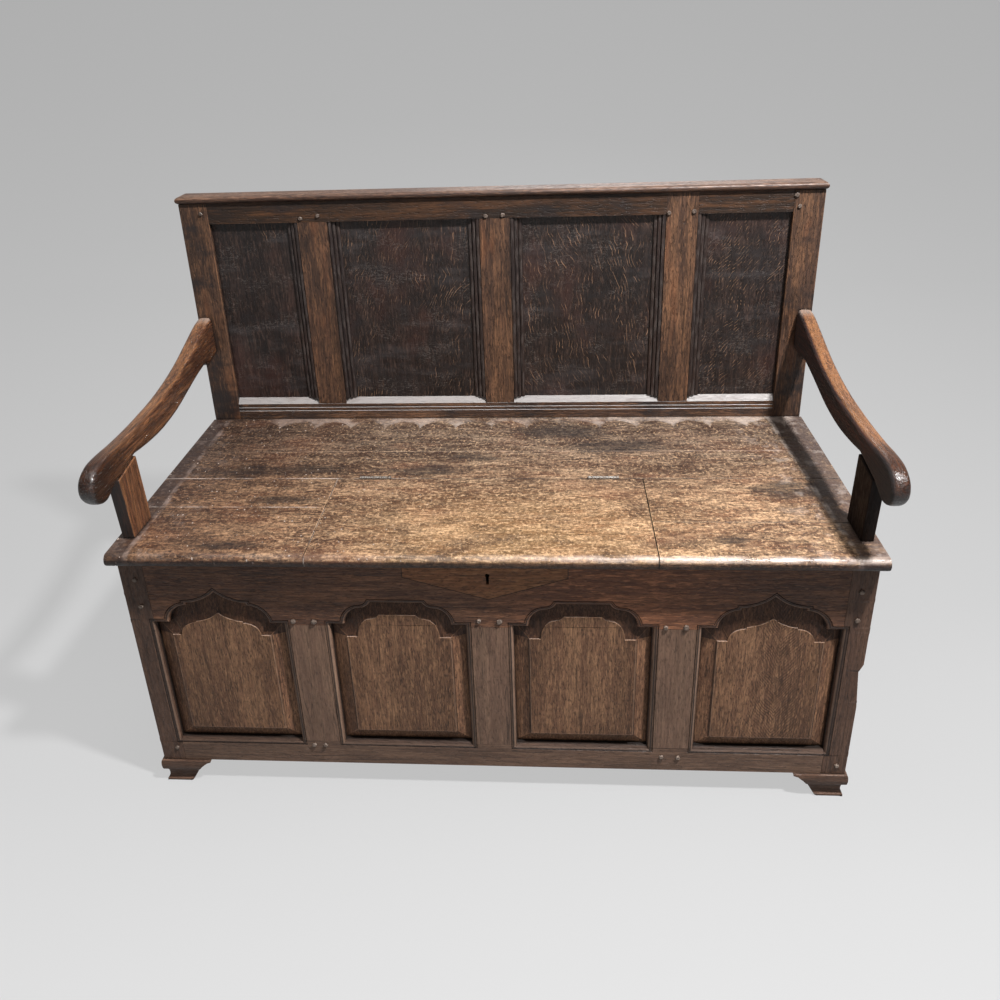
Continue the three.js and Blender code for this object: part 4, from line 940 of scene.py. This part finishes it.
def dark_reeds(name):
    left, right = face_span(name)
    start = (right - left) / 2

    def finish(shades, place):
        away = shades.away(shades.axes(place)[0], (left + right) / 2)
        reeds = shades.step(away, start - REED_EDGE, start + REED_EDGE)
        shades.lay(reeds, REED_TONE, REED_SHARE)
        # Painted grey glints on the crests facing front
        crest = shades.both(reeds, shades.facing("Y", *CREST_FACING))
        shades.lay(shades.both(crest, shades.cloud(place, CREST_BREAKS)), CREST_GLINT_TONE, CREST_GLINT_SHARE)

    return finish


# The sloping top edge of the back's bottom rail: pale weathered wood with a painted highlight where it
# faces up
SLOPE_FACING = (0.5, 0.62)
SLOPE_SHARE = 0.85
SLOPE_HIGHLIGHT_TONE = srgb(150, 145, 143)
SLOPE_PATCHES = Cloud((12.0, 40.0, 40.0), 0.5, 0.7)
SLOPE_PATCH_SHARE = 0.3


def pale_slope(shades, place):
    facing = shades.facing("Z", *SLOPE_FACING)
    # Painted highlight and pale weathering on the slope
    shades.lay(facing, SLOPE_HIGHLIGHT_TONE, SLOPE_SHARE)
    shades.lay(shades.both(facing, shades.cloud(place, SLOPE_PATCHES)), BACK.mid, SLOPE_PATCH_SHARE)


# The arms: nearly black on the nose, golden with a painted highlight along the top, painted shade
# underneath, pale dust and a painted highlight at the rear end
ARM_TOP_FACING = (0.5, 0.95)
ARM_RUBBED_HIGHLIGHT = Cloud((90.0, 9.0, 40.0), 0.35, 0.65, 4.0)
ARM_GOLD_HIGHLIGHT = srgb(150, 104, 66)
ARM_GOLD_GAIN = 0.36
ARM_GOLD_LEAST = 0.06
ARM_UNDER_FACING = (0.1, -0.3)
ARM_UNDER_SHADE_TONE = (0.45, 0.42, 0.42, 1.0)
ARM_NOSE_SPAN = (ARM_NOSE + 0.16, ARM_NOSE + 0.03)
ARM_NOSE_TONE = (0.24, 0.2, 0.21, 1.0)
ARM_END = (POST_FRONT - 0.04, POST_FRONT - 0.008)
ARM_END_FACING = (0.3, 0.8)
ARM_END_SHARE = 0.4


# Painted highlight in golden patches on the top, painted shade underneath, and a darker nose
def arm_highlight_and_shade(shades, place):
    rubbed = shades.math("MULTIPLY_ADD", shades.cloud(place, ARM_RUBBED_HIGHLIGHT), ARM_GOLD_GAIN, ARM_GOLD_LEAST)
    shades.lay(shades.both(shades.facing("Z", *ARM_TOP_FACING), rubbed), ARM_GOLD_HIGHLIGHT)
    shades.shade(shades.facing("Z", *ARM_UNDER_FACING), ARM_UNDER_SHADE_TONE)
    shades.shade(shades.step(shades.axes(place)[1], *ARM_NOSE_SPAN), ARM_NOSE_TONE)


# Pale dust and a painted highlight on the rear end's faces that look up
def pale_end(shades, place):
    end = shades.step(shades.axes(place)[1], *ARM_END)
    shades.lay(shades.both(end, shades.facing("Z", *ARM_END_FACING)), DUST_AND_HIGHLIGHT_TONE, ARM_END_SHARE)


# Faces with painted shade, darker than the rest of their piece: the axis and the span of their normals,
# what their colour is multiplied by and, where they are dull, their roughness
DULL = 0.8
# Painted shade on the right arm's side towards the seat
INSIDE_SHADE = ("X", (-0.35, -0.8), (0.25, 0.13, 0.09, 1.0), DULL)
# Painted shadow on an arm support's front, under the arm
SUPPORT_FRONT_SHADE = ("Y", (-0.5, -0.8), (0.14, 0.11, 0.11, 1.0), DULL)
# Painted shade on the cap's faces other than its top
CAP_FRONT_SHADE = ("Z", (0.6, 0.2), (0.52, 0.47, 0.45, 1.0))


def darker(axis, lean, tone, rough=None):
    def finish(shades, place):
        facing = shades.facing(axis, *lean)
        shades.shade(facing, tone)
        if rough is not None:
            shades.polish(facing, rough)

    return finish


# A lighter, warmer stretch along the chest's top rail
WARM_MIDDLE = 0.23
WARM_SPREAD = (0.27, 0.03)
WARM_TONE = (2.2, 1.95, 1.75, 1.0)
WARM_SWAY_RATE = (6.0, 6.0, 14.0)
WARM_SWAY = (0.12, 0.0, 0.0)


def warm_stretch(shades, place):
    x = shades.axes(shades.warp(place, WARM_SWAY_RATE, WARM_SWAY))[0]
    shades.shade(shades.step(shades.away(x, WARM_MIDDLE), *WARM_SPREAD), WARM_TONE)


# A dark line round the patch, where its joint is filled with dirt
PATCH_LINE = 0.0017
PATCH_LINE_SHARE = 0.85
PLACE_DIGITS = 4


def patch_outline(name):
    """The corners of the piece's front face, in order against the clock as seen from the front."""
    points = [point for point in corners(name) if point.y < FRONT + SAME_PLACE]
    flat = sorted({(round(point.x, PLACE_DIGITS), round(point.z, PLACE_DIGITS)) for point in points})
    return [Vector(flat[index]) for index in convex_hull_2d([Vector(point) for point in flat])]


def patch_joint(shades, place):
    x, _, z = shades.axes(place)
    outline = patch_outline("lock_patch")
    inside = None
    for start, end in zip(outline, outline[1:] + outline[:1]):
        along = (end - start).normalized()
        offset = shades.math("MULTIPLY", shades.minus(x, start.x), -along.y)
        depth = shades.math("MULTIPLY_ADD", shades.minus(z, start.y), along.x, offset)
        inside = depth if inside is None else shades.math("MINIMUM", inside, depth)
    shades.lay(shades.step(inside, PATCH_LINE, PATCH_LINE / 2), GRIME_AND_SHADE_TONE, PATCH_LINE_SHARE)


# Worn steel and iron with rust in spots
STEEL_TONE = srgb(150, 146, 140)
IRON_TONE = srgb(70, 64, 60)
RUST_TONE = srgb(92, 74, 62)
RUST = Cloud((400.0, 400.0, 400.0), 0.45, 0.6)
METAL_ROUGHNESS = 0.35
RUST_ROUGHNESS = 0.3
METAL_SHARE = 0.8


def worn_metal(name, tone):
    shades = Shades(name)
    spots = shades.cloud(shades.place(), RUST)
    roughness = shades.math("MULTIPLY_ADD", spots, RUST_ROUGHNESS, METAL_ROUGHNESS)
    shades.give("Base Color", shades.mix(spots, tone, RUST_TONE))
    shades.give("Roughness", roughness)
    shades.give("Metallic", METAL_SHARE)
    return shades.material


# Grain axis, look, finishes and the record's material slot, by the start of the node's name
MOULDED = (moulding_lines, crevice)
SEATED = (seat_shade, scratches, seat_stains, seat_dust, specks, nose_highlight_and_shade, crevice, joint_dust)
FINISHES = [
    ("front_panel", "z", PANEL, (dust_and_highlight, hollow), "panel_oak"),
    ("end_panel", "z", PANEL, (dust_and_highlight, hollow), "panel_oak"),
    ("backrest_panel", "z", DARK, (smoky, crazed, crevice), "dark_oak"),
    ("front_stile", "z", STILE, MOULDED, "front_oak"),
    ("front_muntin", "z", MUNTIN, MOULDED, "front_oak"),
    ("end_muntin", "z", FRAME, (crevice,), "front_oak"),
    ("end_", "y", FRAME, (crevice,), "front_oak"),
    ("front_top_rail", "x", TOP, (warm_stretch,) + MOULDED, "front_oak"),
    ("front_bottom_rail", "x", FRAME, MOULDED, "front_oak"),
    ("front_", "x", STILE, (crevice,), "front_oak"),
    ("lock_patch", "x", PATCH, (patch_joint, crevice), "front_oak"),
    ("backrest_muntin", "z", BACK, (crevice,), "back_oak"),
    ("rear_post", "z", BACK, (orange_patches, smoky, crevice), "back_oak"),
    ("backrest_bottom_rail", "x", BACK, (smoky, crevice, pale_slope), "back_oak"),
    ("backrest_top_rail", "x", BACK_RAIL, (smoky, crevice), "back_oak"),
    ("backrest_", "x", CAP, (darker(*CAP_FRONT_SHADE), crevice), "back_oak"),
    ("arm_support_left", "z", ARM, (darker(*SUPPORT_FRONT_SHADE), crevice), "arm_oak"),
    ("arm_support_right", "z", SHADED_SUPPORT, (crevice,), "arm_oak"),
    ("arm_right", "y", ARM, (arm_highlight_and_shade, darker(*INSIDE_SHADE), pale_end, crevice), "arm_oak"),
    ("arm_", "y", ARM, (arm_highlight_and_shade, pale_end, crevice), "arm_oak"),
    ("seat_bearer", "y", HIDDEN, (crevice,), "hidden_oak"),
    ("seat_", "x", SEAT, SEATED, "seat_oak"),
    ("box_", "x", HIDDEN, (crevice,), "hidden_oak"),
]

# How far the rays of a back panel lean and how much of it they cover
FLECKED = {
    "backrest_panel_outer_left": (0.1, 0.3),
    "backrest_panel_inner_left": (-0.3, 0.8),
    "backrest_panel_inner_right": (0.2, 0.9),
    "backrest_panel_outer_right": (-0.7, 1.0),
}

# The panel with the arches, the share of its width at which they stand, and the pieces of metal
FIGURED_PANEL = "front_panel_outer_right"
FIGURE_PLACE = 0.57
METALS = ("hinge_", "lock_case", "lock_bolt", "lid_staple")


def finish_of(name):
    return next(row for row in FINISHES if name.startswith(row[0]))


def own_finishes(name):
    """What only one piece has."""
    low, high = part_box(name)
    if name in FLECKED:
        return (ray_flecks(*FLECKED[name]),)
    if name.startswith("backrest_muntin"):
        return (orange_patches, dark_reeds(name))
    if name == FIGURED_PANEL:
        return (arches(low.x + (high.x - low.x) * FIGURE_PLACE), ledges(name))
    if name.startswith("front_panel"):
        return (ledges(name),)
    return ()


def dress(piece, material):
    piece.data.materials.clear()
    piece.data.materials.append(material)


# Pieces whose edges are rubbed round by use: the starts of their names, the radius of that wear
# and the turn from which an edge is rubbed
EDGE_TURN = math.radians(35)
FIELD_TURN = math.radians(9)
WORN_EDGES = [
    (("seat_lid", "seat_rear_board", "seat_left", "seat_right"), 0.0012, EDGE_TURN),
    (("front_stile", "backrest_cap"), 0.0012, EDGE_TURN),
    (("arm_support", "rear_post"), 0.0018, EDGE_TURN),
    (("front_foot",), 0.0015, EDGE_TURN),
    (("front_panel",), 0.0008, FIELD_TURN),
    (("end_top_rail", "end_bottom_rail"), 0.001, EDGE_TURN),
]
WELD = 1e-6
FLAT_ANGLE = math.radians(0.5)
SMOOTH_ANGLE = math.radians(40)
EDGE_SEGMENTS = 3
EDGE_PROFILE = 0.5

# Shortest edge that is rubbed and closest cuts, in radii of wear
SHORTEST_EDGE = 6
CUT_SPACING = 3


def add_piece(name, mesh, body):
    piece = add_object(name, mesh)
    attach(piece, body)
    return piece


def cut_across(shape, width):
    """Cuts across the long way, so that no edge inside a face runs close along an outer edge."""
    ways = [sorted(vert.co[way] for vert in shape.verts) for way in range(3)]
    spans = [places[-1] - places[0] for places in ways]
    long_way = spans.index(max(spans))
    direction = Vector([float(way == long_way) for way in range(3)])
    levels = sorted({vert.co[long_way] for vert in shape.verts})
    last = levels[0]
    for level in levels:
        if level - last < width * CUT_SPACING or levels[-1] - level < width * CUT_SPACING:
            continue
        last = level
        whole = shape.verts[:] + shape.edges[:] + shape.faces[:]
        at = direction * level
        bmesh.ops.bisect_plane(shape, geom=whole, dist=WELD, plane_co=at, plane_no=direction)
        for edge in shape.edges:
            if all(abs(vert.co[long_way] - level) < WELD for vert in edge.verts):
                edge.seam = True


def is_outer_edge(edge, width, turn):
    if not edge.is_manifold or edge.calc_length() < width * SHORTEST_EDGE:
        return False
    return edge.calc_face_angle_signed() > turn


def shape_of(name, ending):
    """A mesh of the node's shape, under its name with the ending."""
    faces = [polygon.vertices for polygon in nodes[name].data.polygons]
    mesh = bpy.data.meshes.new(name + ending)
    mesh.from_pydata(corners(name), [], faces)
    return mesh


def worn_copy(name, width, turn):
    """The node's shape again with its outer edges rounded, standing for it."""
    mesh = shape_of(name, "_worn")
    shape = bmesh.new()
    shape.from_mesh(mesh)
    bmesh.ops.remove_doubles(shape, verts=shape.verts, dist=WELD)
    cut_across(shape, width)
    bmesh.ops.dissolve_limit(shape, angle_limit=FLAT_ANGLE, verts=shape.verts, edges=shape.edges,
                             delimit={"SEAM"})
    rubbed = shape.faces.layers.float.new(RUBBED_FACES)
    edges = [edge for edge in shape.edges if is_outer_edge(edge, width, turn)]
    rounded = bmesh.ops.bevel(shape, geom=edges, offset=width, offset_type="OFFSET",
                              segments=EDGE_SEGMENTS, profile=EDGE_PROFILE, affect="EDGES",
                              clamp_overlap=False)
    for face in rounded["faces"]:
        face[rubbed] = 1.0
    for face in shape.faces:
        face.smooth = True
    shape.to_mesh(mesh)
    shape.free()
    mesh.set_sharp_from_angle(angle=SMOOTH_ANGLE)
    body = "lid" if name == "seat_lid" else "frame"
    piece = add_piece(name + "_worn", mesh, body)
    weights = piece.modifiers.new("normals", "WEIGHTED_NORMAL")
    weights.keep_sharp = True
    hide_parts(name)
    return piece


# The arms are rubbed round all over: their shape is built again in small cells and smoothed
ARM_CELL = 0.0025
ARM_ROUNDING = 8
ARM_SMOOTHING = 0.5
ARMS = ("arm_left", "arm_right")


def rubbed_arm(name):
    mesh = shape_of(name, "_rubbed")
    piece = add_piece(name + "_rubbed", mesh, "frame")
    cells = piece.modifiers.new("cells", "REMESH")
    cells.mode = "VOXEL"
    cells.voxel_size = ARM_CELL
    cells.use_smooth_shade = True
    smooth = piece.modifiers.new("smooth", "SMOOTH")
    smooth.factor = ARM_SMOOTHING
    smooth.iterations = ARM_ROUNDING
    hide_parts(name)
    return piece


def dress_nodes():
    steel = worn_metal("steel", STEEL_TONE)
    iron = worn_metal("iron", IRON_TONE)
    for seed, (name, node) in enumerate(sorted(nodes.items())):
        if name.startswith(METALS):
            dress(node, steel if name.startswith("hinge_") else iron)
            continue
        _, axis, look, finishes, _ = finish_of(name)
        material = oak("oak_" + name, axis, look, seed, own_finishes(name) + finishes)
        wear = [row[1:] for row in WORN_EDGES if name.startswith(row[0])]
        if wear:
            dress(worn_copy(name, *wear[0]), material)
        elif name in ARMS:
            dress(rubbed_arm(name), material)
        else:
            dress(node, material)


# Whittled oak pegs through the joints, their heads a little proud. A head is a stack of rings, each
# a share of the half width and a height, with corners at uneven shares of the ring
PEG_HALF = 0.0052
PEG_RINGS = [(1.0, -0.0008), (0.96, 0.0022), (0.7, 0.0034)]
PEG_SIDES = 8
PEG_SEED = 7
PEG_TURN = 0.5
PEG_SIZE_SHARES = (0.85, 1.1)
PEG_CORNER_SHARES = (0.86, 1.1)

# Where the pegs stand: across and up from the foot of the stiles, and on the chest's ends the
# shares of a rail's height and the depths
FRONT_PEGS = [
    (-0.624, 0.422), (-0.6235, 0.365), (-0.618, 0.031), (0.626, 0.409), (0.626, 0.351), (0.632, 0.021),
    (-0.350, 0.336), (-0.313, 0.335), (-0.018, 0.341), (0.018, 0.340), (0.306, 0.331), (0.341, 0.332),
    (-0.345, 0.045), (-0.323, 0.045), (0.311, 0.033), (0.342, 0.032),
]
BACK_PEGS = [
    (-0.605, 0.959), (-0.398, 0.945), (-0.362, 0.950), (-0.018, 0.942), (0.017, 0.943),
    (0.3485, 0.940), (0.3975, 0.942), (0.594, 0.970), (0.602, 0.948),
]
END_PEG_SHARES = (0.3, 0.7)
END_PEG_DEPTHS = (FRONT + 0.022, POST_FRONT + 0.018)
RIGHT = Vector((1.0, 0.0, 0.0))
UP = Vector((0.0, 0.0, 1.0))


def add_peg(shape, centre, right, up, chance):
    """One peg: an uneven eight-sided head with a low dome."""
    out = right.cross(up)
    turn = chance.uniform(-PEG_TURN, PEG_TURN)
    half = PEG_HALF * chance.uniform(*PEG_SIZE_SHARES)
    spread = [chance.uniform(*PEG_CORNER_SHARES) for _ in range(PEG_SIDES)]
    rings = []
    for share, height in PEG_RINGS:
        ring = []
        for index in range(PEG_SIDES):
            angle = turn + 2 * math.pi * index / PEG_SIDES
            reach = half * share * spread[index]
            across = right * (math.cos(angle) * reach) + up * (math.sin(angle) * reach)
            ring.append(shape.verts.new(centre + across + out * height))
        rings.append(ring)
    for lower, upper in zip(rings, rings[1:]):
        for index in range(PEG_SIDES):
            after = (index + 1) % PEG_SIDES
            shape.faces.new((lower[index], lower[after], upper[after], upper[index]))
    shape.faces.new(rings[-1])
    shape.faces.new(reversed(rings[0]))


def add_pegs(name, places, material):
    """Pegs at the given places; each place is a point and the directions right and up there."""
    chance = random.Random(PEG_SEED)
    shape = bmesh.new()
    for centre, right, up in places:
        add_peg(shape, centre, right, up, chance)
    mesh = bpy.data.meshes.new(name)
    shape.to_mesh(mesh)
    shape.free()
    dress(add_piece(name, mesh, "frame"), material)


def end_pegs(side):
    """Where the pegs of one chest end stand, through the tenons of its two rails."""
    sideways = Vector((0.0, float(side), 0.0))
    places = []
    for low, high in (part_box("end_top_rail_left"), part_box("end_bottom_rail_left")):
        for share in END_PEG_SHARES:
            height = low.z + (high.z - low.z) * share
            places += [Vector((side * BOX_HALF, depth, height)) for depth in END_PEG_DEPTHS]
    return [(place, sideways, UP) for place in places]


def make_pegs():
    wood = oak("peg_oak", "y", PEG, len(nodes), (crevice,))
    back_wood = oak("back_peg_oak", "y", BACK_PEG, len(nodes), (crevice,))
    front = [(Vector((x, FRONT, STILE_BOTTOM + z)), RIGHT, UP) for x, z in FRONT_PEGS]
    back = [(Vector((x, BACK_FACE, STILE_BOTTOM + z)), RIGHT, UP) for x, z in BACK_PEGS]
    add_pegs("front_pegs", front, wood)
    add_pegs("back_pegs", back, back_wood)
    for side, word in ((-1, "left"), (1, "right")):
        add_pegs("end_pegs_" + word, end_pegs(side), wood)


make_camera()
make_lights()
make_world()
make_stage()
dress_nodes()
make_pegs()
